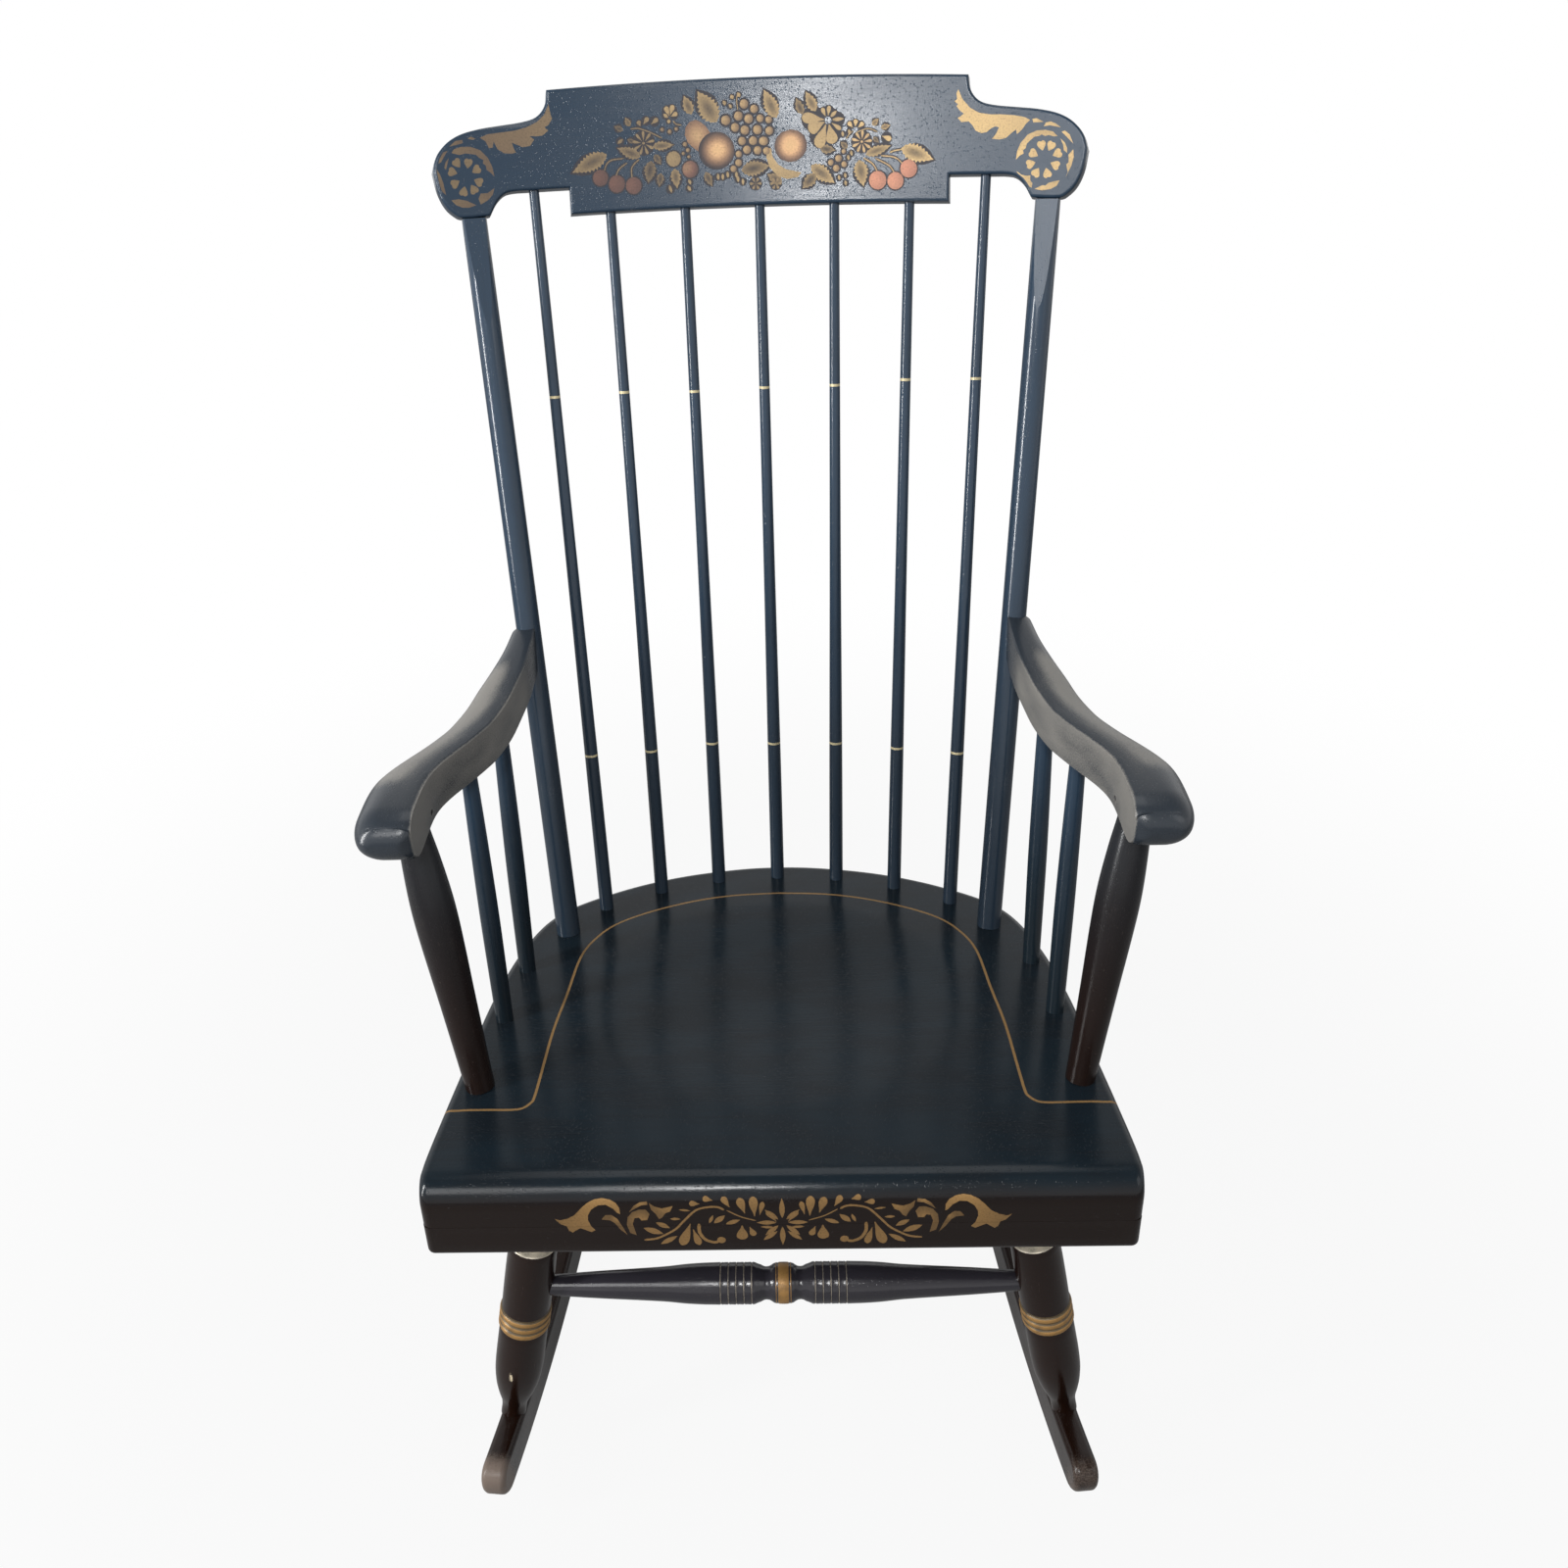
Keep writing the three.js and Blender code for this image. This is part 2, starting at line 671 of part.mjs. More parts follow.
for (const side of sides) {
  const frame = rockerFrame(side);
  const across = new THREE.Vector3(1, 0, 0).transformDirection(frame);
  const grown = rockerBoard(clearance).applyMatrix4(frame);
  const rockerTools = [];
  for (const leg of legs) {
    const line = legLine(leg, side);
    const name = `${leg.name}_${sideName(side)}`;
    const placed = alongAxis(line.foot, line.tip);
    const body = turned(legProfile(line.foot.distanceTo(line.tip)), legSides).applyMatrix4(placed);
    const tenonTop = line.foot.clone().addScaledVector(line.direction, legAnkleSink);
    const tenon = rod(line.heel, tenonTop, legTenonRadius, legSides);
    const pinMiddle = line.foot.clone().addScaledVector(line.direction, -rockerPinDepth);
    const pinHalf = rockerThickness / 2 - rockerPinRecess;
    const pinEnds = sides.map((way) => pinMiddle.clone().addScaledVector(across, way * pinHalf));
    const holeHalf = pinHalf + overrun;
    const holeEnds = sides.map((way) => pinMiddle.clone().addScaledVector(across, way * holeHalf));
    const pinHole = rod(...holeEnds, rockerPinRadius + clearance, dowelSides);
    let solid = toSolid(body).subtract(toSolid(grown));
    solid = solid.add(toSolid(tenon));
    for (const tool of stretcherSockets(name)) solid = solid.subtract(toSolid(tool));
    solid = solid.subtract(toSolid(pinHole));
    addPiece(`${leg.name}_leg_${sideName(side)}`, toGeometry(solid), 'lower');
    const pin = rod(...pinEnds, rockerPinRadius, dowelSides);
    addPiece(`${leg.name}_rocker_pin_${sideName(side)}`, pin, 'dowel');
    const mortise = startSocket(line.heel, line.foot, legTenonRadius, legTenonLength, legSides);
    rockerTools.push(mortise, pinHole);
    seatTools.push(endSocket(line.foot, line.tip, legNeckRadius, legSeatTenon, legSides));
  }
  const rocker = cut(rockerBoard(0).applyMatrix4(frame), rockerTools);
  addPiece(`rocker_${sideName(side)}`, rocker, 'lower');
}

// Arms

const armPlan = {
  sweep: smooth(armPlanShares.map(([along, sweep]) => [along, sweep]), splineSteps),
  width: smooth(armPlanShares.map(([along, , width]) => [along, width]), splineSteps),
};

// Inner face, width, top and underside of an arm at a reach from the seat's front.
function armAt(reach) {
  const along = (armBackReach - reach) / armLength;
  const inner = armInnerX + armSweep * valueAt(armPlan.sweep, along);
  const width = armNoseWidth * valueAt(armPlan.width, along);
  const rise = armBackRise * Math.max(0, 1 - 2 * along) ** armRisePower;
  return { inner, width, top: armTopHeight + rise, under: armTopHeight + rise - armThickness };
}

function armSection(reach) {
  const { inner, width, top, under } = armAt(reach);
  const noseStart = armNoseReach + armNoseLength;
  const past = Math.min(1, Math.max(0, noseStart - reach) / armNoseLength);
  const size = (1 - past ** armNoseFullness) ** (1 / armNoseFullness);
  const spread = THREE.MathUtils.lerp(armNoseDomeShare, 1, size);
  const middle = (top + under) / 2;
  return armSectionShares.map(([across, up]) => new THREE.Vector3(
    inner + width * across * spread,
    reach,
    middle + (armThickness / 2) * up * size,
  ));
}

function armBlank() {
  const noseStart = armNoseReach + armNoseLength;
  const rings = [];
  for (let i = 0; i <= armSteps; i += 1) {
    rings.push(armSection(THREE.MathUtils.lerp(armBackReach, noseStart, i / armSteps)));
  }
  for (let i = 1; i <= noseSteps; i += 1) {
    const past = Math.sin((Math.PI / 2) * (i / (noseSteps + 0.5)));
    rings.push(armSection(noseStart - armNoseLength * past));
  }
  return loft(rings);
}

// Stiles, posts and arm spindles of one side, with the arm that they carry

const crestTools = [];
const stileAxisInset = stileTopRadius - stileFlatInset;
const armSolid = armBlank();

for (const side of sides) {
  const name = sideName(side);
  const armTools = [];

  const stileFoot = seatPoint(side * stileSeatX, stileSeatDepth, 0);
  const stileHead = crestPoint(side * earStileSpacing, earBottom, stileAxisInset);
  const stileDirection = stileHead.clone().sub(stileFoot).normalize();
  const slant = stileTopRadius * Math.abs(stileDirection.x);
  const shoulder = stileFoot.distanceTo(stileHead) - slant - clearance;
  const stileStart = stileFoot.clone().addScaledVector(stileDirection, -stileSeatTenon);
  const stileEnd = stileHead.clone().addScaledVector(stileDirection, stileTenonLength);
  const stileLength = stileStart.distanceTo(stileEnd);
  const stile = turned([
    [stileBaseRadius, 0],
    [stileBaseRadius, stileSeatTenon],
    [stileMiddleRadius, stileSeatTenon + shoulder / 2],
    [stileTopRadius, stileSeatTenon + shoulder],
    [stileTenonRadius, stileSeatTenon + shoulder],
    [stileTenonRadius, stileLength],
  ], stileSides);
  stile.applyMatrix4(alongAxis(stileStart, stileEnd));
  seatTools.push(startSocket(stileStart, stileEnd, stileBaseRadius, stileSeatTenon, stileSides));
  crestTools.push(endSocket(stileStart, stileEnd, stileTenonRadius, stileTenonLength, stileSides));

  // the tongue: a slanting block shaves the stile's face so that it runs out to a point
  const face = new THREE.Vector3(0, -1, 0).projectOnPlane(stileDirection).normalize();
  const flatTop = stileFoot.clone().addScaledVector(stileDirection, shoulder + overrun);
  flatTop.addScaledVector(face, stileAxisInset - (stileFlatInset * overrun) / stileFlatLength);
  const flatEnd = stileFoot.clone().addScaledVector(stileDirection, shoulder - stileFlatLength);
  flatEnd.addScaledVector(face, stileTopRadius);
  const slope = flatTop.clone().sub(flatEnd).normalize();
  const outward = new THREE.Vector3().crossVectors(slope, new THREE.Vector3(1, 0, 0)).normalize();
  if (outward.dot(face) < 0) outward.negate();
  const acrossFlat = new THREE.Vector3().crossVectors(slope, outward);
  const shave = new THREE.BoxGeometry(4 * stileTopRadius, 2 * stileFlatLength, 2 * stileTopRadius);
  shave.translate(0, -stileFlatLength, stileTopRadius);
  shave.applyMatrix4(new THREE.Matrix4().makeBasis(acrossFlat, slope, outward).setPosition(flatTop));

  // the arm: coped to the stile, and held to it by a dowel
  const armHigh = armAt(armBackReach);
  const dowelHeight = (armHigh.top + armHigh.under) / 2;
  const stileShare = (dowelHeight - stileFoot.z) / stileDirection.z;
  const dowelStart = stileFoot.clone().addScaledVector(stileDirection, stileShare);
  const dowelEnd = dowelStart.clone().add(new THREE.Vector3(0, -armDowelLength, 0));
  const dowelHole = endSocket(dowelStart, dowelEnd, armDowelRadius, armDowelLength, dowelSides);
  addPiece(`arm_dowel_${name}`, rod(dowelStart, dowelEnd, armDowelRadius, dowelSides), 'dowel');
  armTools.push(rod(stileStart, stileHead, stileBaseRadius + clearance, stileSides), dowelHole);
  addPiece(`stile_${name}`, cut(stile, [shave, dowelHole]), 'upper');

  // the post: its shoulder is cut level under the arm, its tenon is pinned from the inner face
  const postFoot = seatPoint(side * postSeatX, postSeatDepth, 0);
  const postArm = armAt(postArmReach);
  const postHeadX = side * (postArm.inner + postArmInset);
  const postHead = new THREE.Vector3(postHeadX, postArmReach, postArm.under);
  const postDirection = postHead.clone().sub(postFoot).normalize();
  const postStart = postFoot.clone().addScaledVector(postDirection, -postSeatTenon);
  const postEnd = postHead.clone().addScaledVector(postDirection, postTenonLength);
  const postLength = postFoot.distanceTo(postHead);
  const post = turned([
    [postBaseRadius, 0],
    [postBaseRadius, postSeatTenon],
    ...postSwellShares.map(([along, swell]) => [
      THREE.MathUtils.lerp(postBaseRadius, postBellyRadius, swell),
      postSeatTenon + postLength * along,
    ]),
    [postTopRadius, postSeatTenon + postLength + postTenonRadius],
  ], stileSides);
  post.applyMatrix4(alongAxis(postStart, postEnd));
  const above = new THREE.BoxGeometry(4 * postTopRadius, 4 * postTopRadius, 2 * postTenonLength);
  above.translate(postHead.x, postHead.y, postHead.z - clearance + postTenonLength);
  const tenonStart = postHead.clone().addScaledVector(postDirection, -postTenonLength);
  const postTenon = rod(tenonStart, postEnd, postTenonRadius, stileSides);
  const pinAxis = postHead.clone().addScaledVector(postDirection, postPinHeight / postDirection.z);
  const pinStart = new THREE.Vector3(side * (postArm.inner + postPinRecess), pinAxis.y, pinAxis.z);
  const pinEnd = pinStart.clone().add(new THREE.Vector3(side * postPinLength, 0, 0));
  const pinMouth = pinStart.clone().add(new THREE.Vector3(-side * (postPinRecess + overrun), 0, 0));
  const pinStop = pinEnd.clone().add(new THREE.Vector3(side * clearance, 0, 0));
  const pinHole = rod(pinMouth, pinStop, postPinRadius + clearance, dowelSides);
  let postSolid = toSolid(post).subtract(toSolid(above));
  postSolid = postSolid.add(toSolid(postTenon)).subtract(toSolid(pinHole));
  addPiece(`arm_post_${name}`, toGeometry(postSolid), 'upper');
  addPiece(`arm_post_pin_${name}`, rod(pinStart, pinEnd, postPinRadius, dowelSides), 'steel');
  seatTools.push(startSocket(postStart, postEnd, postBaseRadius, postSeatTenon, stileSides));
  armTools.push(endSocket(postStart, postEnd, postTenonRadius, postTenonLength, stileSides), pinHole);

  for (const spindle of armSpindles) {
    const at = armAt(spindle.armReach);
    const foot = seatPoint(side * spindle.seatX, spindle.seatDepth, 0);
    const head = new THREE.Vector3(side * (at.inner + spindle.armInset), spindle.armReach, at.under);
    const direction = head.clone().sub(foot).normalize();
    const start = foot.clone().addScaledVector(direction, -armSpindleSeatTenon);
    const end = head.clone().addScaledVector(direction, armSpindleArmTenon);
    const length = start.distanceTo(end);
    const body = turned([
      [armSpindleBaseRadius, 0],
      [armSpindleBaseRadius, armSpindleSeatTenon],
      [armSpindleBellyRadius, length * 0.45],
      [armSpindleTopRadius, length - armSpindleArmTenon],
      [armSpindleTopRadius, length],
    ], spindleSides);
    addPiece(`${spindle.name}_arm_spindle_${name}`, body, 'upper', alongAxis(start, end));
    seatTools.push(startSocket(start, end, armSpindleBaseRadius, armSpindleSeatTenon, spindleSides));
    armTools.push(endSocket(start, end, armSpindleTopRadius, armSpindleArmTenon, spindleSides));
  }

  const arm = side < 0 ? mirrored(armSolid) : armSolid;
  addPiece(`arm_${name}`, cut(arm, armTools), 'upper');
}

// Back spindles, evenly spaced on an arc in the seat and along the crest rail

for (let k = -spindlesPerSide; k <= spindlesPerSide; k += 1) {
  const angle = (k * spindleSpacing) / backArcRadius;
  const depth = backArcDepth - backArcRadius * (1 - Math.cos(angle));
  const foot = seatPoint(backArcRadius * Math.sin(angle), depth, 0);
  const along = k * crestSpindleSpacing;
  const up = Math.abs(along) > crestStepHalf ? crestStepHeight : 0;
  const head = crestPoint(along, up, crestThickness / 2);
  const direction = head.clone().sub(foot).normalize();
  const start = foot.clone().addScaledVector(direction, -spindleSeatTenon);
  const end = head.clone().addScaledVector(direction, spindleCrestTenon);
  const length = start.distanceTo(end);
  const spindle = turned([
    [spindleBaseRadius, 0],
    [spindleBaseRadius, spindleSeatTenon],
    [spindleMiddleRadius, length * 0.5],
    [spindleTopRadius, length - spindleCrestTenon],
    [spindleTopRadius, length],
  ], spindleSides);
  addPiece(`back_spindle_${k + spindlesPerSide + 1}`, spindle, 'upper', alongAxis(start, end));
  seatTools.push(startSocket(start, end, spindleBaseRadius, spindleSeatTenon, spindleSides));
  crestTools.push(endSocket(start, end, spindleTopRadius, spindleCrestTenon, spindleSides));
}

// Crest rail: the sawn outline, lofted in upright strips along its bend

const earTop = smooth(earTopShares, splineSteps).map(({ x, y }) => new THREE.Vector2(
  THREE.MathUtils.lerp(crestTopHalf, earReach, x),
  crestHeight * y,
));
const earLow = earBottomShares.map(([along, up]) => new THREE.Vector2(
  THREE.MathUtils.lerp(crestStepHalf, earReach, along),
  crestHeight * up,
));

function crestEdges(along) {
  const reach = Math.abs(along);
  const crown = crestCrown * (1 - (reach / crestTopHalf) ** 2);
  const high = reach <= crestTopHalf ? crestHeight + crown : valueAt(earTop, reach);
  const low = reach <= crestStepHalf ? 0 : valueAt(earLow, reach);
  return [low, high];
}

function crestSection(along) {
  const [low, high] = crestEdges(along);
  const round = Math.min(crestEdgeRadius, (high - low) / 4);
  const corners = [
    [low, round], [low, crestThickness - round], [low + round, crestThickness],
    [high - round, crestThickness], [high, crestThickness - round], [high, round],
    [high - round, 0], [low + round, 0],
  ];
  return corners.map(([up, behind]) => crestPoint(along, up, behind));
}

// Half the rail's stations: even along the middle, doubled at the steps, close at the ear's end.
function crestStations() {
  const stations = [];
  const spans = [
    [0, crestStepHalf, crestMiddleSteps],
    [crestStepHalf + clearance, crestTopHalf, crestStepSteps],
    [crestTopHalf + clearance, crestTopHalf + crestEdgeRadius, crestWallSteps],
    [crestTopHalf + 2 * crestEdgeRadius, earStileSpacing, crestNeckSteps],
    [earStileSpacing + crestEdgeRadius, earReach - clearance, crestEarSteps],
  ];
  for (const [from, to, steps] of spans) {
    for (let i = 0; i <= steps; i += 1) {
      const even = i / steps;
      const share = to > earStileSpacing ? Math.sin((even * Math.PI) / 2) : even;
      stations.push(THREE.MathUtils.lerp(from, to, share));
    }
  }
  return stations;
}

const rightStations = crestStations();
const leftStations = rightStations.slice(1).reverse().map((along) => -along);
const crestBlank = loft([...leftStations, ...rightStations].map(crestSection));
addPiece('crest_rail', cut(crestBlank, crestTools), 'upper');

// Seat: board sawn to its outline, rolled at the front, dished, and bored for all that it carries

function seatOutline(lead) {
  const right = smooth(seatOutlineShares, splineSteps);
  const half = seatWidth / 2;
  const points = [new THREE.Vector2(half * right[0].x, -lead)];
  for (const { x, y } of right) points.push(new THREE.Vector2(half * x, seatDepth * y));
  const left = points.map(({ x, y }) => new THREE.Vector2(-x, y)).reverse();
  return new THREE.Shape([...points, new THREE.Vector2(0, seatDepth), ...left]);
}

function seatBlank() {
  const board = new THREE.ExtrudeGeometry(seatOutline(seatRollRadius), {
    depth: seatThickness - 2 * seatEdgeRadius,
    bevelThickness: seatEdgeRadius,
    bevelSize: seatEdgeRadius,
    bevelOffset: -seatEdgeRadius,
    bevelSegments: edgeSteps,
    steps: 1,
  });
  board.translate(0, 0, seatEdgeRadius - seatThickness);
  const front = new THREE.Shape();
  front.moveTo(0, -seatThickness - overrun);
  front.lineTo(0, -seatRollRadius);
  front.absarc(seatRollRadius, -seatRollRadius, seatRollRadius, Math.PI, Math.PI / 2, true);
  front.lineTo(seatRollRadius, overrun);
  front.lineTo(seatDepth + overrun, overrun);
  front.lineTo(seatDepth + overrun, -seatThickness - overrun);
  const length = seatWidth + 2 * overrun;
  const profile = extrudedAcross(front, length);
  return toSolid(board).intersect(toSolid(profile));
}

// Shallow cap of a sphere, stretched to the dish's width and depth.
function dishTool() {
  const profile = [];
  for (let i = 0; i <= dishSteps; i += 1) {
    const share = i / dishSteps;
    profile.push([share + 1 / dishSides, -dishDepth * (1 - share ** 2)]);
  }
  profile.push([1 + 1 / dishSides, overrun]);
  const tool = turned(profile, dishSides);
  tool.rotateX(Math.PI / 2);
  tool.scale(dishHalfWidth, dishHalfDepth, 1);
  tool.translate(0, dishSetback, 0);
  return tool;
}

let seat = seatBlank().subtract(toSolid(dishTool()));
const seatFrameInverse = seatFrame.clone().invert();
for (const tool of seatTools) seat = seat.subtract(toSolid(tool.applyMatrix4(seatFrameInverse)));
addPiece('seat', toGeometry(seat), 'seat', seatFrame);

// Strip under the front edge, flush with the board's face

function frontStrip() {
  const top = -seatThickness - clearance;
  const bottom = -seatThickness - rollHeight;
  const shape = new THREE.Shape();
  shape.moveTo(0, top);
  shape.lineTo(0, bottom + rollCornerRadius);
  const round = rollCornerRadius;
  shape.absarc(round, bottom + round, round, Math.PI, (Math.PI * 3) / 2, false);
  shape.lineTo(rollDepth - rollBackChamfer, bottom);
  shape.lineTo(rollDepth, bottom + rollBackChamfer);
  shape.lineTo(rollDepth, top);
  return extrudedAcross(shape, seatWidth * seatOutlineShares[0][0]);
}

addPiece('seat_front_roll', welded(frontStrip()), 'seat', seatFrame);

// The chair stands over the origin by the middle of its outer box.
const box = new THREE.Box3().setFromObject(chair, true);
chair.position.y = -(box.min.y + box.max.y) / 2;
chair.position.z = -box.min.z;

export default chair;
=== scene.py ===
"""Rocking chair in painted and stencilled wood: the dressed model.

Laid out as an add-on and run as a script. Places are worked out in millimetres, with x to the
right, y back from the foot of the seat's front face and z up from the floor. spot() turns them
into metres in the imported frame.
"""
import math
from collections import namedtuple

import bmesh
import bpy
from bpy.props import FloatProperty, FloatVectorProperty, IntProperty, PointerProperty
from mathutils import Matrix, Vector
from mathutils.geometry import delaunay_2d_cdt


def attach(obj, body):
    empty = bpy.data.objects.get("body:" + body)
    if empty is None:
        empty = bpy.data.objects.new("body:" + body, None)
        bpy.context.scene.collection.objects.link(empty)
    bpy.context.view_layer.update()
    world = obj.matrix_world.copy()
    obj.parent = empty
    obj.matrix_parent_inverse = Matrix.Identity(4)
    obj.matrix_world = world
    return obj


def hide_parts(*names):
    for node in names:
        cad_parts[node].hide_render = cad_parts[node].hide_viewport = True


bl_info = {
    "name": "Rocking Chair",
    "version": (1, 0, 0),
    "blender": (4, 5, 0),
    "location": "3D View > Sidebar > Chair",
    "description": "Builds a stencilled rocking chair around its packed frame",
    "category": "Add Mesh",
}

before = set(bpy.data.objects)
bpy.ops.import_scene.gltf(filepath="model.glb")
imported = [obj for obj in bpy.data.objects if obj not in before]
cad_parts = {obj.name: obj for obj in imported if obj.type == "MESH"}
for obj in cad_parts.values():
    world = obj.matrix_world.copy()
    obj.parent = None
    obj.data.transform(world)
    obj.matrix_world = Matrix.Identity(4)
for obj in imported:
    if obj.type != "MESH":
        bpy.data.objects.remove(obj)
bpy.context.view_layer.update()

MM = 0.001
ROW_SHIFT = 328.79  # y of the middle of the chair's outer box
SIDES = (-1, 1)
FINE = 0.01  # a distance that counts as none
FLAT_RIM = 0.5  # flat border that keeps a face's shading clear of its rounded edge


def side_name(side):
    return "left" if side < 0 else "right"


# Sizes and colours that a user may change


def length(name, description, default):
    return FloatProperty(
        name=name, description=description, default=default * MM, min=0.0,
        subtype="DISTANCE", unit="LENGTH", precision=4,
    )


def tint(name, description, default):
    return FloatVectorProperty(
        name=name, description=description, default=linear(default), size=3, min=0.0, max=1.0,
        subtype="COLOR",
    )


def linear(levels):
    """Screen levels from 0 to 255 as linear light from 0 to 1."""
    shares = [level / 255 for level in levels]
    return tuple(s / 12.92 if s <= 0.04045 else ((s + 0.055) / 1.055) ** 2.4 for s in shares)


class ChairSizes(bpy.types.PropertyGroup):
    """Lengths of the dressed pieces"""

    crest_edge: length("Crest edge", "Rounding of the crest rail's edges", 2.2)
    seat_edge: length("Seat edge", "Rounding of the seat's sides and back", 7)
    dish_depth: length("Dish depth", "Depth of the hollow in the seat", 5)
    stripe_width: length("Stripe width", "Width of the line painted on the seat", 2.3)
    spindle_ring: length("Spindle ring", "Height of a painted ring on a back spindle", 2.2)
    rocker_edge: length("Rocker edge", "Rounding of the rockers' edges", 5.5)
    turning_sides: IntProperty(
        name="Turning sides", description="Sides of the turned pieces", default=40, min=12, max=96,
    )


class ChairColours(bpy.types.PropertyGroup):
    """Colours of the paints"""

    upper: tint("Upper paint", "Crest rail and the tops of stiles and spindles", (43, 61, 79))
    upper_low: tint("Upper paint, low", "Feet of stiles and spindles", (37, 49, 61))
    arm: tint("Arm paint", "Arms", (45, 51, 58))
    post: tint("Post paint", "Heads of the arm posts", (35, 38, 42))
    post_low: tint("Post paint, low", "Feet of the arm posts", (27, 17, 14))
    seat: tint("Seat paint", "Top of the seat", (23, 33, 40))
    face: tint("Face paint", "Front face of the seat and the strip under it", (23, 12, 7))
    lower: tint("Lower paint", "Legs, stretchers and rockers", (29, 15, 9))
    powder: tint("Bronze powder", "Stencilled leaves, fruit and bands", (192, 164, 118))
    band: tint(
        "Gold band", "Bands on the legs, the spindles and the front stretcher", (166, 126, 72),
    )
    vine: tint("Vine powder", "The vine on the seat's front", (164, 128, 80))
    blush: tint("Blush powder", "Stencilled cherries", (196, 134, 112))
    ground: tint("Stencil ground", "Dark end of the stencil's shading", (44, 42, 48))
    bare: tint("Bare wood", "Wood where the paint is gone", (196, 178, 150))


# Frames of the seat and the crest rail

SEAT_HALF = 274.5
SEAT_DEPTH = 452
SEAT_HEIGHT = 418
SEAT_THICKNESS = 39
SEAT_SHIFT = 4.949  # of the seat's own plane behind the working frame
PITCH = math.radians(4.3)  # of the seat, down to the back
CREST_RADIUS = 795  # of the rail's bend
CREST_TILT = math.radians(17)  # of the rail, back from upright
CREST_Y = 523.5  # middle of the rail's lower front edge
CREST_Z = 1018


def spot(x, y, z):
    """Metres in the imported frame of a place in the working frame."""
    return Vector((x, y - ROW_SHIFT, z)) * MM


def seat_place(x, depth, up):
    """Millimetres in the working frame of a point given in the seat's own plane."""
    y = depth * math.cos(PITCH) + up * math.sin(PITCH) + SEAT_SHIFT
    return Vector((x, y, SEAT_HEIGHT - depth * math.sin(PITCH) + up * math.cos(PITCH)))


def crest_place(along, up, behind):
    """The same for a point given on the bent crest rail's front."""
    reach = CREST_RADIUS + behind * math.cos(CREST_TILT)
    angle = along / CREST_RADIUS
    y = CREST_Y + reach * math.cos(angle) - CREST_RADIUS + up * math.sin(CREST_TILT)
    z = CREST_Z + up * math.cos(CREST_TILT) - behind * math.sin(CREST_TILT)
    return Vector((reach * math.sin(angle), y, z))


def between(a, b, share):
    return a + (b - a) * share


def even_steps(first, last, count):
    return [between(first, last, k / count) for k in range(count + 1)]


def smooth_step(low, high, value):
    share = min(1, max(0, (value - low) / (high - low)))
    return share * share * (3 - 2 * share)


def curve_through(points, steps):
    """A rounded line through the points, with that many steps in each span."""
    points = [Vector(p) for p in points]
    first = points[0] * 2 - points[1]
    last = points[-1] * 2 - points[-2]
    padded = [first, *points, last]
    line = [points[0]]
    for a, b, c, d in zip(padded, padded[1:], padded[2:], padded[3:]):
        for k in range(1, steps + 1):
            t = k / steps
            pull = (c - a) * t + (a * 2 - b * 5 + c * 4 - d) * t * t
            line.append(b + (pull + (b * 3 - a - c * 3 + d) * t ** 3) * 0.5)
    return line


def height_on(line, x):
    """Second coordinate of a line, at one first coordinate."""
    for a, b in zip(line, line[1:]):
        if x <= b[0]:
            return between(a[1], b[1], (x - a[0]) / (b[0] - a[0]))
    return line[-1][1]


# Meshes


class Form:
    """A mesh being made, with what the paint needs to know at each point and corner."""

    def __init__(self):
        self.points = []
        self.grain = []
        self.wear_and_light = []
        self.faces = []
        self.slots = []
        self.shades = {}

    def point(self, place, grain, wear_and_light=0.0):
        """place is in the working frame; grain is the point's place in the wood, along first."""
        self.points.append(spot(*place))
        self.grain.append(Vector(grain) * MM)
        self.wear_and_light.append(wear_and_light)
        return len(self.points) - 1

    def face(self, corners, slot=0, shade=None):
        corners = [c for k, c in enumerate(corners) if c != corners[k - 1]]
        if len(corners) < 3:
            return
        if shade:
            self.shades[len(self.faces)] = shade
        self.faces.append(corners)
        self.slots.append(slot)

    def strip(self, low, high, slot=0, closed=True):
        count = len(low) if closed else len(low) - 1
        for k in range(count):
            j = (k + 1) % len(low)
            self.face([low[k], low[j], high[j], high[k]], slot)

    def mesh(self, name):
        mesh = bpy.data.meshes.new(name)
        mesh.from_pydata(self.points, [], self.faces)
        mesh.polygons.foreach_set("material_index", self.slots)
        grain = mesh.attributes.new("Grain", "FLOAT_VECTOR", "POINT")
        grain.data.foreach_set("vector", [c for g in self.grain for c in g])
        wear_and_light = mesh.attributes.new("WearAndLight", "FLOAT", "POINT")
        wear_and_light.data.foreach_set("value", self.wear_and_light)
        if self.shades:
            self.add_shades(mesh)
        return mesh

    def add_shades(self, mesh):
        mesh.attributes.new("Motif", "FLOAT2", "CORNER")
        mesh.attributes.new("Powder", "FLOAT_COLOR", "CORNER")
        motif, powder = mesh.attributes["Motif"], mesh.attributes["Powder"]
        for number, (places, tone) in self.shades.items():
            start = mesh.polygons[number].loop_start
            for k, place in enumerate(places):
                motif.data[start + k].vector = place
                powder.data[start + k].color = (*tone, 1)


# angles in degrees above which an edge isn't shaded smooth
SHARP = 35
SHARP_SEAT = 40
SHARP_ARM = 24
SHARP_STILE = 11  # so that the shaved flat keeps its edge
SHARP_RING = 40  # legs and stretchers
TURNED_WEAR = 0.1


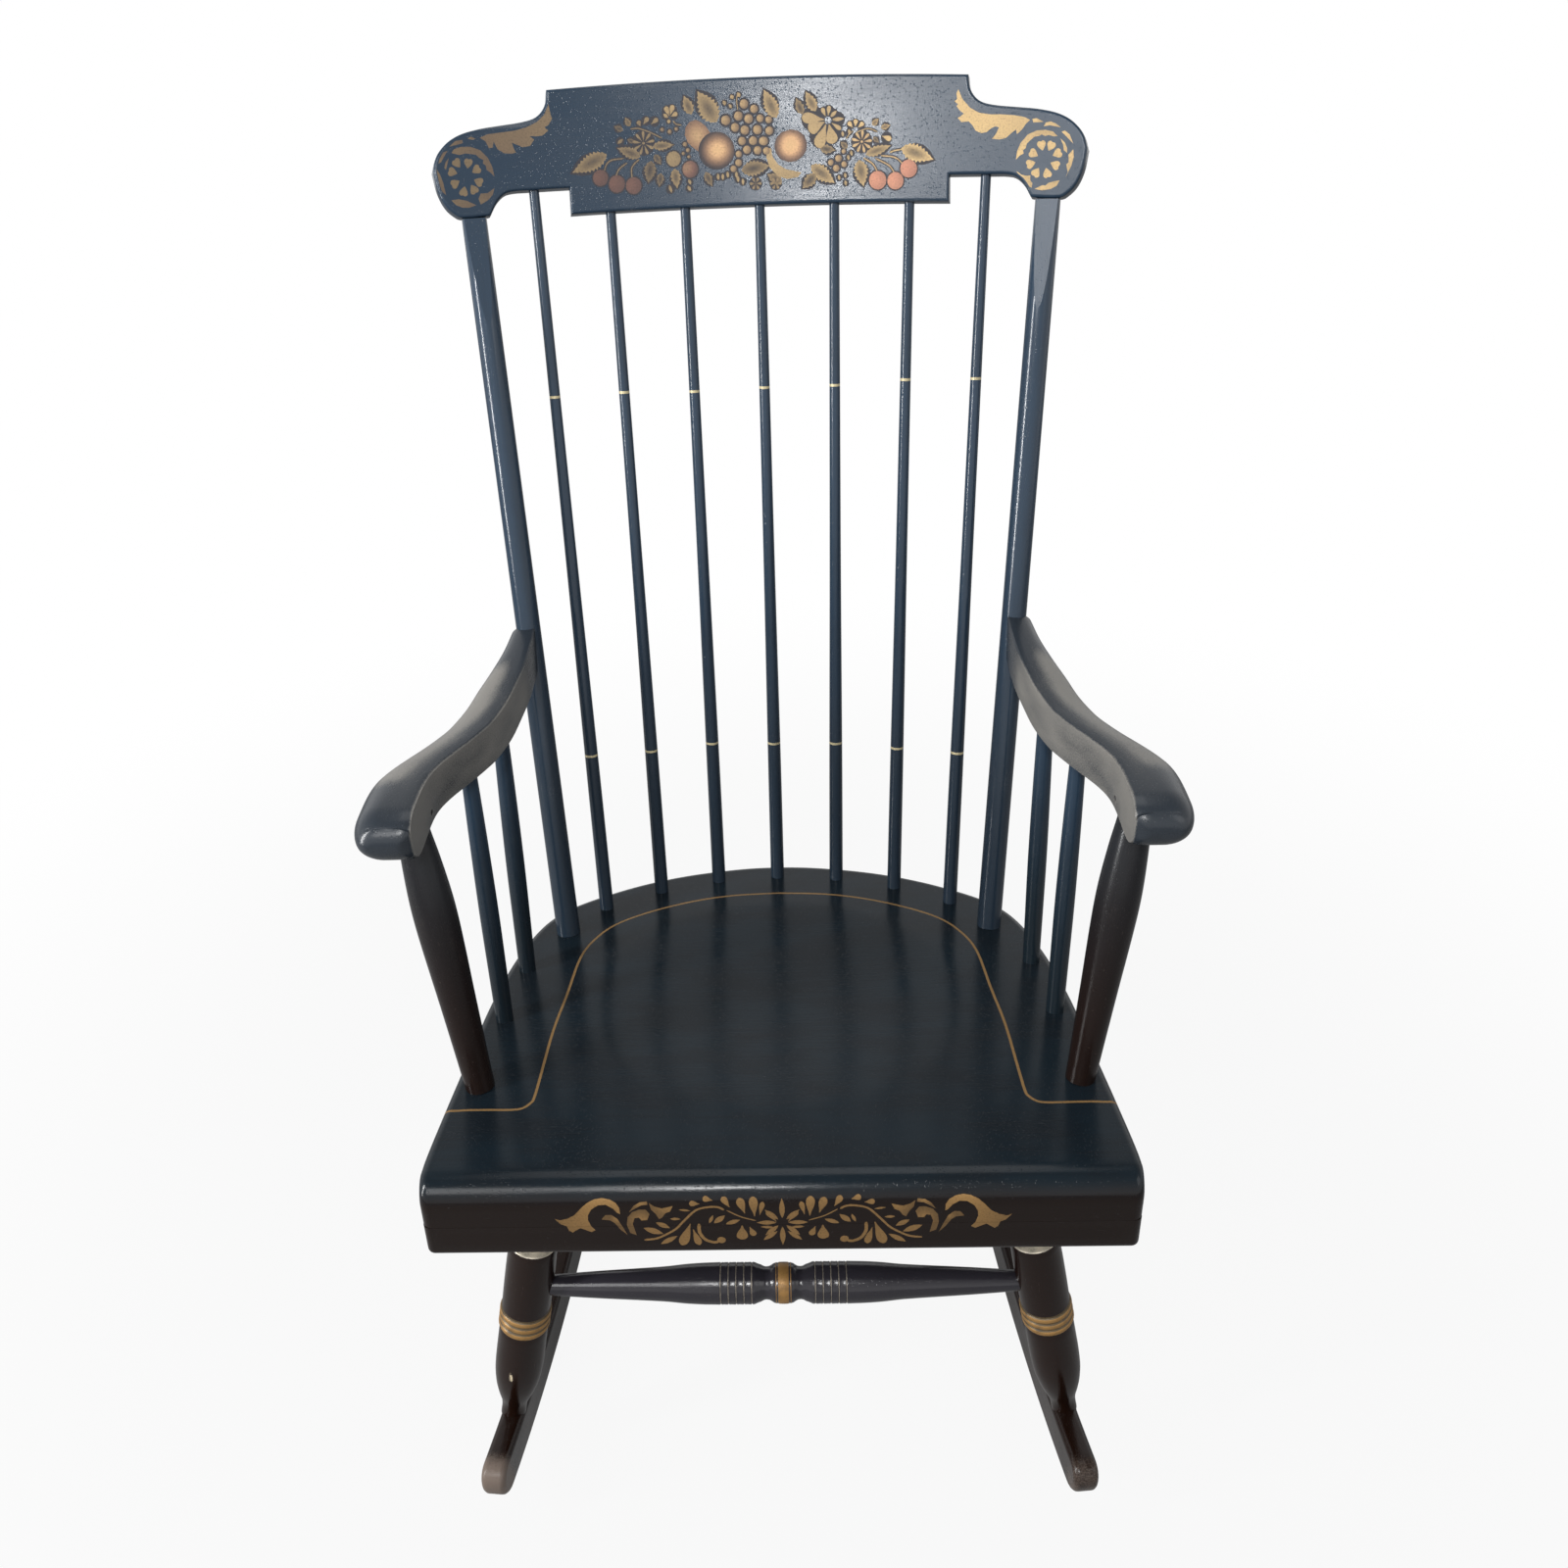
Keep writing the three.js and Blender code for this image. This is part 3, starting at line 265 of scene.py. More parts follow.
def finished(form, name, paints, nodes, sharp=SHARP, change=None):
    """Makes the piece, seats it on the chair and hides the CAD nodes that it stands for."""
    mesh = form.mesh(name)
    solid = bmesh.new()
    solid.from_mesh(mesh)
    bmesh.ops.remove_doubles(solid, verts=solid.verts, dist=FINE * MM)
    bmesh.ops.dissolve_degenerate(solid, edges=solid.edges, dist=FINE * MM / 4)
    if change:
        change(solid)
    bmesh.ops.recalc_face_normals(solid, faces=solid.faces)
    solid.to_mesh(mesh)
    solid.free()
    for paint in paints:
        mesh.materials.append(paint)
    mesh.shade_smooth()
    mesh.set_sharp_from_angle(angle=math.radians(sharp))
    piece = bpy.data.objects.new(name, mesh)
    bpy.context.scene.collection.objects.link(piece)
    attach(piece, "root")
    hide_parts(*nodes)
    return piece


def dressed(form, node, paint_names, slot, sharp=SHARP, change=None):
    """The piece that stands for the one CAD node of the same name."""
    paints = finishes(*paint_names)
    return finished(form, f"{node}_dressed", paints, [node], sharp, change)


def turned_piece(node, ends, profile, sides, paint_names, slot, wear_and_light=TURNED_WEAR, **look):
    """One turned piece from end to end, made and seated."""
    form = Form()
    turn(form, *ends, profile, sides, wear_and_light)
    return dressed(form, node, paint_names, slot, **look)


def turn(form, foot, head, profile, sides, wear_and_light=0.0):
    """Turned work along foot to head. profile holds (distance, radius, slot above it).

    wear is a number, or a function of the distance.
    """
    axis = (head - foot).normalized()
    guide = Vector((1, 0, 0)) if abs(axis.y) > 0.9 else Vector((0, 1, 0))
    across = axis.cross(guide).normalized()
    upward = axis.cross(across)
    angles = [2 * math.pi * k / sides for k in range(sides)]
    rings = []
    for along, radius, _ in profile:
        worn_and_lit = wear_and_light(along) if callable(wear_and_light) else wear_and_light
        ring = []
        for angle in angles:
            a, b = radius * math.cos(angle), radius * math.sin(angle)
            place = foot + axis * along + across * a + upward * b
            ring.append(form.point(place, (along, a, b), worn_and_lit))
        rings.append(ring)
    for low, high, (_, _, slot) in zip(rings, rings[1:], profile):
        form.strip(low, high, slot)
    form.face(rings[0][::-1])
    form.face(rings[-1])


def eased(keys, steps):
    """A turner's profile, all in slot 0, with soft curves through (distance, radius) keys."""
    slopes = []
    for k in range(len(keys)):
        (a0, r0), (a1, r1) = keys[max(k - 1, 0)], keys[min(k + 1, len(keys) - 1)]
        slopes.append((r1 - r0) / (a1 - a0))
    profile = [(*keys[0], 0)]
    for (a0, r0), (a1, r1), s0, s1 in zip(keys, keys[1:], slopes, slopes[1:]):
        for k in range(1, steps + 1):
            t = k / steps
            rise = t * t * (3 - 2 * t)
            bend = (s0 * t * (1 - t) ** 2 - s1 * t * t * (1 - t)) * (a1 - a0)
            profile.append((between(a0, a1, t), between(r0, r1, rise) + bend, 0))
    return profile


# (distance, radius) about the foot, (share of the span, radius) between the ends and (distance
# past the span, radius) about the head
Turning = namedtuple("Turning", "foot middle head")


def turned_keys(turning, span):
    """The (distance, radius) keys of a turning at one span."""
    middle = [(span * share, radius) for share, radius in turning.middle]
    return [*turning.foot, *middle, *[(span + past, radius) for past, radius in turning.head]]


def ringed(profile, middle, half, slot):
    """Lets a painted ring into a profile."""
    line = [(a, r) for a, r, _ in profile]
    low, high = middle - half, middle + half
    before = [p for p in profile if p[0] < low]
    after = [p for p in profile if p[0] > high]
    ends = [(low, height_on(line, low), slot), (high, height_on(line, high), profile[0][2])]
    return before + ends + after


# Stencilled shapes

Motif = namedtuple("Motif", "outline centre along across tone")
# brightest and dimmest powder, and how far it blushes
TONES = [
    (0.5, 0.24, 0.0), (0.74, 0.6, 0.0), (0.95, 0.82, 0.0), (0.9, 0.62, 1.0), (0.92, 0.72, 0.08),
    (0.46, 0.28, 1.0), (0.66, 0.14, 0.5), (0.76, 0.3, 0.1),
]
# the dimmer cherry tone is painted shade, for the cherries at the rail's left end
CHERRY, LEFT_SHADED_CHERRY, GRAPE = 3, 5, 7  # places in TONES
LEAF_SLIM = 0.76  # the widths of leaves below are across the tips of their teeth
TOOTH_LENGTH = 2.8


def heading(angle):
    return Vector((math.cos(angle), math.sin(angle)))


def oval(x, y, half_width, half_height, corners):
    ring = [2 * math.pi * k / corners for k in range(corners)]
    return [(x + half_width * math.cos(a), y + half_height * math.sin(a)) for a in ring]


def dome(outline, lit, reach, rise, tone):
    """Any outline, brightest at one point and dimmer all round it."""
    return Motif(outline, Vector(lit), Vector((reach, 0)), Vector((0, rise)), tone)


def berry(x, y, radius, tone):
    outline = oval(x, y, radius, radius, 16)
    lit = (x - radius * 0.5, y + radius * 0.2)
    return dome(outline, lit, radius * 1.7, radius * 1.7, TONES[tone])


def gap(motif):
    """The bare dark paint that shows round a stencilled shape."""
    return motif._replace(tone=(0.0, 0.0, 0.0))


def blade(x0, y0, x1, y1, width, profile):
    """A leaf or petal: its foot, its length and half width as vectors, and its outline."""
    foot = Vector((x0, y0))
    along = Vector((x1, y1)) - foot
    across = Vector((-along.y, along.x)).normalized() * width / 2
    near = [foot + along * a + across * w for a, w in profile]
    far = [foot + along * a - across * w for a, w in reversed(profile)]
    return foot, along, across, near + far


PETAL_PROFILE = [
    (0.0, 0.08), (0.2, 0.3), (0.42, 0.68), (0.62, 0.95), (0.78, 1.0), (0.9, 0.8), (0.98, 0.36),
    (1.0, 0.1),
]
HEART_PROFILE = [
    (0.0, 0.06), (0.2, 0.42), (0.45, 0.82), (0.66, 1.0), (0.82, 0.96), (0.95, 0.7), (1.0, 0.42),
    (0.94, 0.14),
]
SPEAR_PROFILE = [
    (0.0, 0.04), (0.15, 0.55), (0.35, 0.95), (0.55, 1.0), (0.75, 0.72), (0.9, 0.3), (1.0, 0.03),
]


def toothed(count):
    """Edge of a leaf with that many teeth, which lean towards its tip."""
    profile = [(0.0, 0.1)]
    for k in range(count):
        for share, cut in ((0.22, 0.8), (0.86, 1.12)):
            a = (k + share) / count
            full = math.sin(math.pi * a ** 0.75) ** 0.95
            profile.append((a, max(0.06, full * cut)))
    return profile + [(1.0, 0.02)]


def leaf(x0, y0, x1, y1, width, tone):
    """A toothed leaf, dusted from its edge inwards so that its middle stays dim."""
    teeth = max(4, min(10, int(math.dist((x0, y0), (x1, y1)) / TOOTH_LENGTH)))
    foot, along, across, outline = blade(x0, y0, x1, y1, width * LEAF_SLIM, toothed(teeth))
    bright, dim, _ = TONES[tone]
    edge_lit = (dim * 0.4, bright, 0.0)
    return Motif(outline, foot + along * 0.42, along * 0.55, across * 0.9, edge_lit)


def petal(x0, y0, x1, y1, width, tone, profile=PETAL_PROFILE):
    """A petal or drop, brightest at its tip."""
    _, along, across, outline = blade(x0, y0, x1, y1, width, profile)
    return Motif(outline, Vector((x1, y1)), -along * 1.3, across * 3, TONES[tone])


def spear(x0, y0, x1, y1, width, tone):
    """A slim leaf, brightest along its middle."""
    foot, along, across, outline = blade(x0, y0, x1, y1, width, SPEAR_PROFILE)
    return Motif(outline, foot + along * 0.5, along * 0.9, across * 3, TONES[tone])


def stroke(width, tone, path):
    """A stem, vein or line of even width that tapers at its ends."""
    path = curve_through(path, 5) if len(path) > 2 else [Vector(p) for p in path]
    near, far = [], []
    for k, here in enumerate(path):
        way = path[min(k + 1, len(path) - 1)] - path[max(k - 1, 0)]
        across = Vector((-way.y, way.x)).normalized() * width / 2
        if k in (0, len(path) - 1):
            across *= 0.4
        near.append(here + across)
        far.append(here - across)
    reach = max((path[-1] - path[0]).length, width) * 2
    return dome(near + far[::-1], path[0], reach, reach, tone)


def flower(x, y, count, inner, outer, width, turn_degrees, tone):
    shapes = []
    for k in range(count):
        way = heading(math.radians(turn_degrees) + 2 * math.pi * k / count)
        ends = [Vector((x, y)) + way * reach for reach in (inner, outer)]
        shapes.append(petal(*ends[0], *ends[1], width, tone))
    shapes.append(berry(x, y, inner * 0.55, tone))
    return shapes


def patch(outline, bright_end, dim_end, tone):
    """Any outline, brightest at one point and dimmest at another."""
    along = Vector(dim_end) - Vector(bright_end)
    return Motif(outline, Vector(bright_end), along, Vector((-along.y, along.x)), tone)


def inside(point, outline):
    x, y = point
    odd = False
    for (x0, y0), (x1, y1) in zip(outline, outline[1:] + outline[:1]):
        if (y0 > y) != (y1 > y) and x < x0 + (y - y0) * (x1 - x0) / (y1 - y0):
            odd = not odd
    return odd


def anticlockwise(outline):
    area = sum(x0 * y1 - x1 * y0 for (x0, y0), (x1, y1) in zip(outline, outline[1:] + outline[:1]))
    return outline if area > 0 else outline[::-1]


def offset(outline, distance):
    """An outline moved inwards; it runs anticlockwise."""
    moved = []
    for k, here in enumerate(outline):
        before, after = outline[k - 1], outline[(k + 1) % len(outline)]
        a = (here - before).normalized()
        b = (after - here).normalized()
        normal = Vector((-a.y - b.y, a.x + b.x))
        normal = normal / max(0.5, normal.length_squared / 2)
        moved.append(here + normal * distance)
    return moved


INNER_TRIANGLES = 1  # delaunay_2d_cdt's option that keeps what lies inside the outlines
CDT_REACH = 1e-5  # corners that lie closer than this become one


def painted(form, outline, ring, step, motifs, place, grain, wear_and_light=None):
    """Skins the region inside outline, with its motifs let into it edge to edge.

    ring holds the points that form already has at the outline's corners, place turns a corner
    into the working frame, and step is the spacing of the points that carry the surface's bend.
    """
    flat = [tuple(p) for p in outline]
    low = [min(p[axis] for p in flat) for axis in (0, 1)]
    high = [max(p[axis] for p in flat) for axis in (0, 1)]
    counts = [int((high[axis] - low[axis]) / step[axis]) for axis in (0, 1)]
    margin = min(step) * 0.4
    spots = []
    for i in range(1, counts[0]):
        x = between(low[0], high[0], i / counts[0])
        for j in range(1, counts[1]):
            here = (x, between(low[1], high[1], j / counts[1]))
            if inside(here, flat) and min(math.dist(here, p) for p in flat) > margin:
                spots.append(here)
    corners = list(flat)
    faces = [list(range(len(flat)))]
    for motif in motifs:
        faces.append(list(range(len(corners), len(corners) + len(motif.outline))))
        corners += anticlockwise([tuple(p) for p in motif.outline])
    corners += spots
    cut = delaunay_2d_cdt([Vector(c) for c in corners], [], faces, INNER_TRIANGLES, CDT_REACH, True)
    coords, _, triangles, sources, _, owners = cut
    numbers = []
    for here, origins in zip(coords, sources):
        known = [ring[o] for o in origins if o < len(ring)]
        if known:
            numbers.append(known[0])
        else:
            worn_and_lit = wear_and_light(*here) if wear_and_light else 0.0
            numbers.append(form.point(place(*here), grain(*here), worn_and_lit))
    for triangle, owner in zip(triangles, owners):
        if 0 not in owner:
            continue
        top = max(owner)
        if top == 0:
            form.face([numbers[c] for c in triangle])
            continue
        motif = motifs[top - 1]
        places = []
        for c in triangle:
            away = coords[c] - motif.centre
            u = away.dot(motif.along) / motif.along.length_squared
            v = away.dot(motif.across) / motif.across.length_squared
            places.append((u, v))
        form.face([numbers[c] for c in triangle], 1, (places, motif.tone))


EDGE_STEPS = 5  # flats in a rounded edge


def sawn(form, outline, thickness, edge, step, motifs, place, wear_and_light=None):
    """A board sawn to an outline, with rounded edges. place takes along, up and behind."""
    turns = [math.pi / 2 * k / EDGE_STEPS for k in range(EDGE_STEPS + 1)]
    rim_inset = edge + FLAT_RIM
    levels = [(rim_inset, 0)]
    levels += [(edge * (1 - math.sin(a)), edge * (1 - math.cos(a))) for a in turns]
    levels += [(inset, thickness - behind) for inset, behind in reversed(levels)]
    rings = []
    for inset, behind in levels:
        ring = []
        for x, y in offset(outline, inset):
            worn_and_lit = wear_and_light(x, y) if wear_and_light else 0.0
            ring.append(form.point(place(x, y, behind), (x, y, behind), worn_and_lit))
        rings.append(ring)
    for near, far in zip(rings, rings[1:]):
        form.strip(far, near)
    rim = offset(outline, rim_inset)

    def front(x, y):
        return place(x, y, 0)

    def back(x, y):
        return place(x, y, thickness)

    painted(form, rim, rings[0], step, motifs, front, lambda x, y: (x, y, 0), wear_and_light)
    painted(form, rim, rings[-1], step, [], back, lambda x, y: (x, y, thickness), wear_and_light)


# The stencils, read off in millimetres: along and up the rail, or along the seat and down its
# front. BERRIES: centre, radius, tone. LEAVES and PETALS: foot, tip, width, tone. STEMS: width,
# tone, path. FLOWERS: centre, petals, inner and outer reach, petal width, turn, tone.

BERRIES = [
    (-131.7, 26.4, 6.6, 3), (-118.4, 21, 7.1, 3), (-104.5, 19, 6.9, 3), (-70.5, 38, 6.3, 1),
    (-56.9, 29.4, 6.9, 6), (-79, 60.8, 1.8, 1), (-72.8, 58.9, 2, 1), (-67.3, 60.7, 1.8, 1),
    (-10.8, 77.5, 4.3, 1), (-2.6, 73.5, 3.9, 1), (-15.7, 68.6, 4.3, 1), (-7.3, 66.2, 4.3, 1),
    (2.2, 66.3, 3.5, 1), (-26.2, 65.7, 4.6, 1), (-18.7, 60, 4.1, 1), (-10.7, 57.7, 4.3, 1),
    (-0.3, 57.7, 4.3, 1), (-13.2, 49.5, 3.9, 1), (-4.1, 49.4, 4.1, 1), (4, 48.9, 3.9, 1),
    (-9.3, 42.7, 3.9, 1), (-0.5, 42, 3.9, 1), (-16.2, 39.6, 3.1, 1), (-16.6, 32.9, 3.4, 1),
    (-20.9, 28.4, 3.1, 1), (-60.6, 48.8, 2.2, 1), (-58.3, 44.1, 2, 1), (-62.2, 41.8, 1.5, 1),
    (-57.8, 39.1, 1.5, 1), (2.2, 65.9, 3.3, 1), (9.3, 64.9, 3.3, 1), (0.1, 57.3, 3.9, 1),
    (9.6, 56.6, 3.9, 1), (4.9, 48.9, 4.1, 1), (-0.3, 41.9, 3.3, 1), (6.9, 41.3, 3.5, 1),
    (70.8, 39.2, 2.2, 1), (66.4, 33.9, 3.3, 1), (60, 30.9, 2.8, 1), (71, 29.3, 2.8, 1),
    (64.5, 26.4, 3.3, 1), (98.7, 16.6, 7.6, 3), (113.3, 16, 7.1, 3), (124.2, 25.2, 7.3, 3),
]
LEAVES = [
    (-125.7, 44, -154.3, 31.8, 17.3, 2), (-89.1, 37.2, -92.2, 20.5, 12.8, 0),
    (-81.4, 27.6, -83.3, 17.1, 8, 0), (-70, 30.4, -68.3, 15.2, 10.7, 1),
    (-98, 40.9, -116.5, 48.5, 11.2, 1), (-87.2, 48.3, -70.1, 48.8, 9.2, 1),
    (-86.2, 42, -81.1, 34.3, 7.1, 0), (-105.3, 64.5, -109, 71.2, 6.1, 1),
    (-111.3, 61.5, -118.3, 65.1, 5.7, 0), (-102.8, 52.4, -108.1, 54.7, 4.5, 0),
    (-54.3, 71.3, -60, 85.5, 11.2, 1), (-33.8, 64.7, -48.7, 88.3, 21.4, 1),
    (-14.3, 26.9, 9.4, 29.9, 15.3, 0), (-44.3, 26.8, -39.2, 15.6, 8.2, 0),
    (15.7, 66.3, 5.9, 87.6, 15.3, 1), (51.2, 42.1, 63.8, 40.2, 9.2, 0),
    (43.8, 29, 63, 15.1, 15.3, 1), (47.3, 22.2, 36.2, 11.5, 12.2, 0),
    (19, 16.2, 7.4, 23.3, 11.2, 0), (48, 70.3, 40.2, 85.3, 11.2, 1),
    (37.3, 68.2, 32.1, 80.6, 9.2, 0), (94.4, 58.5, 99.7, 63.4, 5.7, 1),
    (101.5, 56.4, 109.1, 58.3, 5.7, 1), (95.2, 49.5, 99.7, 45.3, 4.5, 0),
    (73.7, 41.6, 68.3, 46.7, 6.1, 0), (88.9, 36.3, 109.5, 43, 9.7, 1),
    (118.4, 40.8, 144.3, 31.9, 17.3, 2), (83.5, 32.3, 86.9, 12.1, 15.3, 1),
]
PETALS = [
    (-75, 18, -73, 12, 2.7, 1), (-59.6, 16.9, -57.1, 12.6, 2.7, 1),
    (-58.5, 21.9, -56.9, 17.6, 2.4, 1), (-72.7, 70.8, -75.5, 78.1, 4.1, 2),
    (-71.8, 71.6, -69.2, 78.9, 4.1, 2), (-71.4, 70.4, -65.9, 72.8, 3.5, 2),
    (-73.7, 69.6, -77.6, 72.7, 2.7, 2), (-72.8, 68.4, -73.6, 65.1, 2.7, 2),
    (-111.7, 54.9, -116.3, 51.8, 2.7, 1), (-96.8, 64.1, -98.4, 68.3, 3.5, 1),
    (-94.1, 65.6, -90.2, 70.4, 3.7, 1), (-87.8, 65.3, -82.2, 69.2, 3.5, 1),
    (-25.9, 77.2, -27.9, 80.6, 2.7, 1), (-19.5, 81.5, -21.5, 84.8, 3.1, 1),
    (-21, 74.6, -23.1, 77.9, 2.4, 1), (-14, 82.9, -16.1, 86.3, 3.1, 1),
    (-34.1, 25.2, -33.8, 20.2, 2.4, 1), (-30.2, 25.1, -29.9, 20, 2.4, 1),
    (-26.1, 26.6, -25.7, 21.5, 2.4, 1), (-18.8, 26.3, -18.5, 21.3, 2.4, 1),
    (-17.6, 22.9, -17.2, 17.9, 2.4, 1), (-13.6, 20.7, -13.2, 15.6, 2.4, 1),
    (76.8, 39.8, 77.5, 35.6, 2.2, 1), (74.2, 36.5, 74.9, 32.4, 2.2, 1),
    (66.4, 21.2, 67.1, 17, 2.2, 1), (71.5, 22.8, 72.2, 18.6, 2.2, 1),
    (71.8, 16.9, 72.5, 12.7, 2.2, 1), (69.8, 54.5, 70.4, 50.3, 2.2, 1),
    (75.2, 56, 75.8, 51.8, 2.2, 1), (78.3, 57.2, 74.8, 61.4, 3.5, 2), (80.5, 58, 81, 63.3, 3.7, 2),
    (82.8, 57.1, 87.3, 60.7, 3.5, 2), (102.4, 50.2, 109.9, 47.6, 4.1, 2),
    (55, 63.6, 36.7, 66, 8.5, 1), (55.2, 61.8, 42, 56, 9.5, 1), (56.4, 60, 49.3, 42.6, 9.5, 1),
    (59, 60, 62, 45.3, 9.5, 1), (56.2, 66, 53.3, 72.6, 3.4, 1), (58.3, 66.5, 59.3, 74, 3.4, 1),
    (60.2, 65.6, 65.3, 70, 3, 1), (61.5, 63.5, 71.3, 64, 3, 1), (61, 61, 68.7, 56, 3.4, 1),
]
STEMS = [
    (0.9, 1, -128.2, 31.6, -126.2, 36.5, -121.5, 39.6, -111.5, 40.3),
    (0.9, 1, -119, 26.9, -115.6, 32.6, -109, 36.9),
    (0.9, 1, -105.6, 24.6, -105.6, 32.1, -102.7, 36.1, -99, 38.9),
    (0.8, 1, -105, 62.4, -99.6, 62.7, -95.2, 61.5, -88.1, 58.7, -79.3, 54.2),
    (0.7, 1, -69.7, 67, -67.2, 64.4, -62.7, 63.4), (0.7, 1, -15.6, 86.3, -16.7, 80.6, -16, 73.1),
    (0.7, 1, 72.8, 48.7, 75.6, 52.3, 78.7, 54.7), (0.8, 1, 81.4, 53.5, 90.8, 56.1, 98.8, 53.5),
    (0.9, 2, 108.6, 37.7, 113.1, 39.1, 119.3, 40),
    (0.9, 4, 87.1, 33.9, 94.2, 29.6, 97.3, 25.4, 98.2, 22.4),
    (0.9, 4, 96.9, 33.3, 106.8, 28.6, 110.4, 25.2, 112.6, 21.8),
    (0.9, 4, 101.4, 35.3, 111.3, 34.3, 115.7, 32.2, 119.3, 28.8),
]
FLOWERS = [
    (-94.8, 51.2, 9, 2, 9.2, 2.2, 10, 1), (-2.8, 16.4, 6, 0.8, 4.9, 2.2, 0, 0),
    (14, 15.9, 6, 0.8, 4.7, 2.2, 0, 0),
    (85.8, 46.3, 9, 1.8, 8.4, 2.2, 5, 4),
]
PEACH = [
    (27.2, 57.1), (33.4, 55.9), (38.3, 52.4), (40.6, 46.6), (39.9, 40.3), (36.6, 35.8),
    (31.2, 32.5), (24.8, 32), (18.5, 34.3), (14.6, 39), (13.4, 44.8), (14.9, 50.6), (19.5, 55),
]
SLICE = [
    (7.2, 42.5), (10.6, 43.3), (11.8, 36.6), (16.2, 30.6), (22.9, 26.6), (30.1, 25.1), (35.5, 24),
    (32.7, 20.4), (23.6, 19), (15.5, 21.8), (9.3, 28.3), (6.8, 35.5),
]
ACANTHUS_RIGHT = [
    (164.1, 84.2), (167.6, 76.9), (173.8, 70.4), (180.9, 66.7), (189.6, 65.4), (199.2, 65.3),
    (209.6, 64.6), (217.4, 63.2), (221.8, 61.2), (218.4, 58), (215.5, 54), (211.6, 50.6),
    (210.7, 54), (207.3, 51.6), (203, 47.9), (197.8, 46.7), (191.7, 47.2), (194.7, 50.8),
    (197.2, 55.7), (194.1, 56.5), (190.7, 54.9), (187.2, 52.1), (182.8, 51.5), (178.4, 53.3),
    (175.8, 57.4), (172.7, 60.3), (167, 59.8), (163.9, 62.8), (168.8, 66), (164.7, 69.3),
    (162.9, 71.7), (164, 73.3), (161.1, 75.4), (163.3, 77), (162.6, 81),
]
ACANTHUS_LEFT = [
    (-171, 85), (-174.6, 77.1), (-181.1, 71.7), (-190.2, 68.2), (-199.2, 66.3), (-213.4, 65.5),
    (-222.2, 64.9), (-228.1, 62.8), (-223.5, 59.7), (-221.3, 54.5), (-218.2, 54.8), (-217.2, 59.2),
    (-214.3, 53.3), (-209.3, 49.9), (-203.1, 49.2), (-199.4, 49.8), (-201.1, 52.5), (-202.5, 57.5),
    (-198.2, 55.4), (-194, 53.5), (-187.7, 54.1), (-184.3, 58.8), (-187.9, 61.5), (-181.9, 61),
    (-177.3, 61.3), (-172.3, 64.7), (-175.1, 67.5), (-172, 68.8), (-168.6, 73.5), (-169.9, 77.6),
]
SCROLLS_RIGHT = [
    [(211.2, 31.7), (211.9, 37.8), (214.8, 44.3), (220.3, 50.4), (227.1, 53.3), (234, 53.8),
     (240.1, 52.6), (244, 49.2), (241, 49), (236.7, 50), (234.1, 49.2), (231.1, 50.4),
     (229, 49.2), (225.5, 48.7), (222.1, 45.9), (219.6, 43.5), (218.8, 40.2), (216.7, 38.6),
     (217.2, 36.2), (214.2, 34.6)],
    [(211.8, 23.1), (215, 17.4), (218.6, 13.7), (224.3, 10.5), (224.7, 14.2), (222.9, 16.2),
     (223, 19.9), (220.2, 19.5), (215.8, 20.3)],
    [(226.5, 9.7), (232.6, 8.7), (239.6, 9.9), (244.3, 12.4), (246.5, 16.5), (242, 15.6),
     (237.3, 14.3), (235.2, 12.3), (233, 12.7)],
    [(256.5, 39.6), (257.1, 34), (255.4, 27.6), (251, 18.4), (252.6, 22.7), (251.3, 28.3),
     (253.2, 30), (252.8, 35.6)],
    [(246.1, 47.6), (249.8, 44.4), (251.6, 40.4), (251.7, 36.8), (249.1, 38.8), (248.5, 42.8)],
    [(246.9, 52.4), (249.5, 53.4), (253.4, 50.4), (256.4, 43.7), (253.1, 46.8), (250.5, 49.2)],
    [(232.7, 56.5), (234.3, 59.2), (238.1, 60), (242.5, 58.4), (246.2, 55.6), (241.7, 56.4),
     (237.4, 57.2)],
    [(223.5, 61.8), (226.9, 62.4), (232.6, 59.7), (228.7, 59.4), (224.4, 59.2)],
]
SCROLLS_LEFT = [
    [(-251.7, 53), (-249.3, 55.7), (-243.9, 57), (-236.1, 56.6), (-228.4, 53.5), (-222.7, 47.3),
     (-219.7, 40.6), (-218.4, 32.9), (-221, 35.7), (-224.3, 38.4), (-224.9, 41.8), (-227, 43.5),
     (-226.4, 46), (-229.7, 47.8), (-232.2, 50.4), (-236.5, 51.2), (-240.8, 51.9), (-245.3, 51)],
    [(-231.2, 12.6), (-232.6, 17.1), (-230.6, 20.9), (-224.8, 20.9), (-219, 24.4),
     (-220.9, 19.2), (-225.2, 15.3)],
    [(-254.7, 17.6), (-248.9, 18), (-242, 16.2), (-234.8, 12.3), (-240.7, 10.9), (-246, 11.3),
     (-251.1, 13.6)],
    [(-264.5, 41.8), (-262.2, 37.9), (-260.1, 31.2), (-258.5, 21.9), (-261.6, 24.7),
     (-264.1, 30.7)],
    [(-262.8, 45.7), (-261.6, 49.3), (-258.2, 53.9), (-254.6, 54.9), (-258.1, 50.2),
     (-260.5, 46.8)],
    [(-258.3, 42.5), (-256.9, 46.5), (-254, 49.4), (-255.4, 45.6), (-257.1, 40.8)],
    [(-253, 57.8), (-247.9, 61.7), (-242.2, 62.1), (-242, 59.7), (-247.3, 58.7)],
    [(-237.8, 62.6), (-235.5, 64.1), (-231.2, 62.4), (-233.9, 61.6)],
]
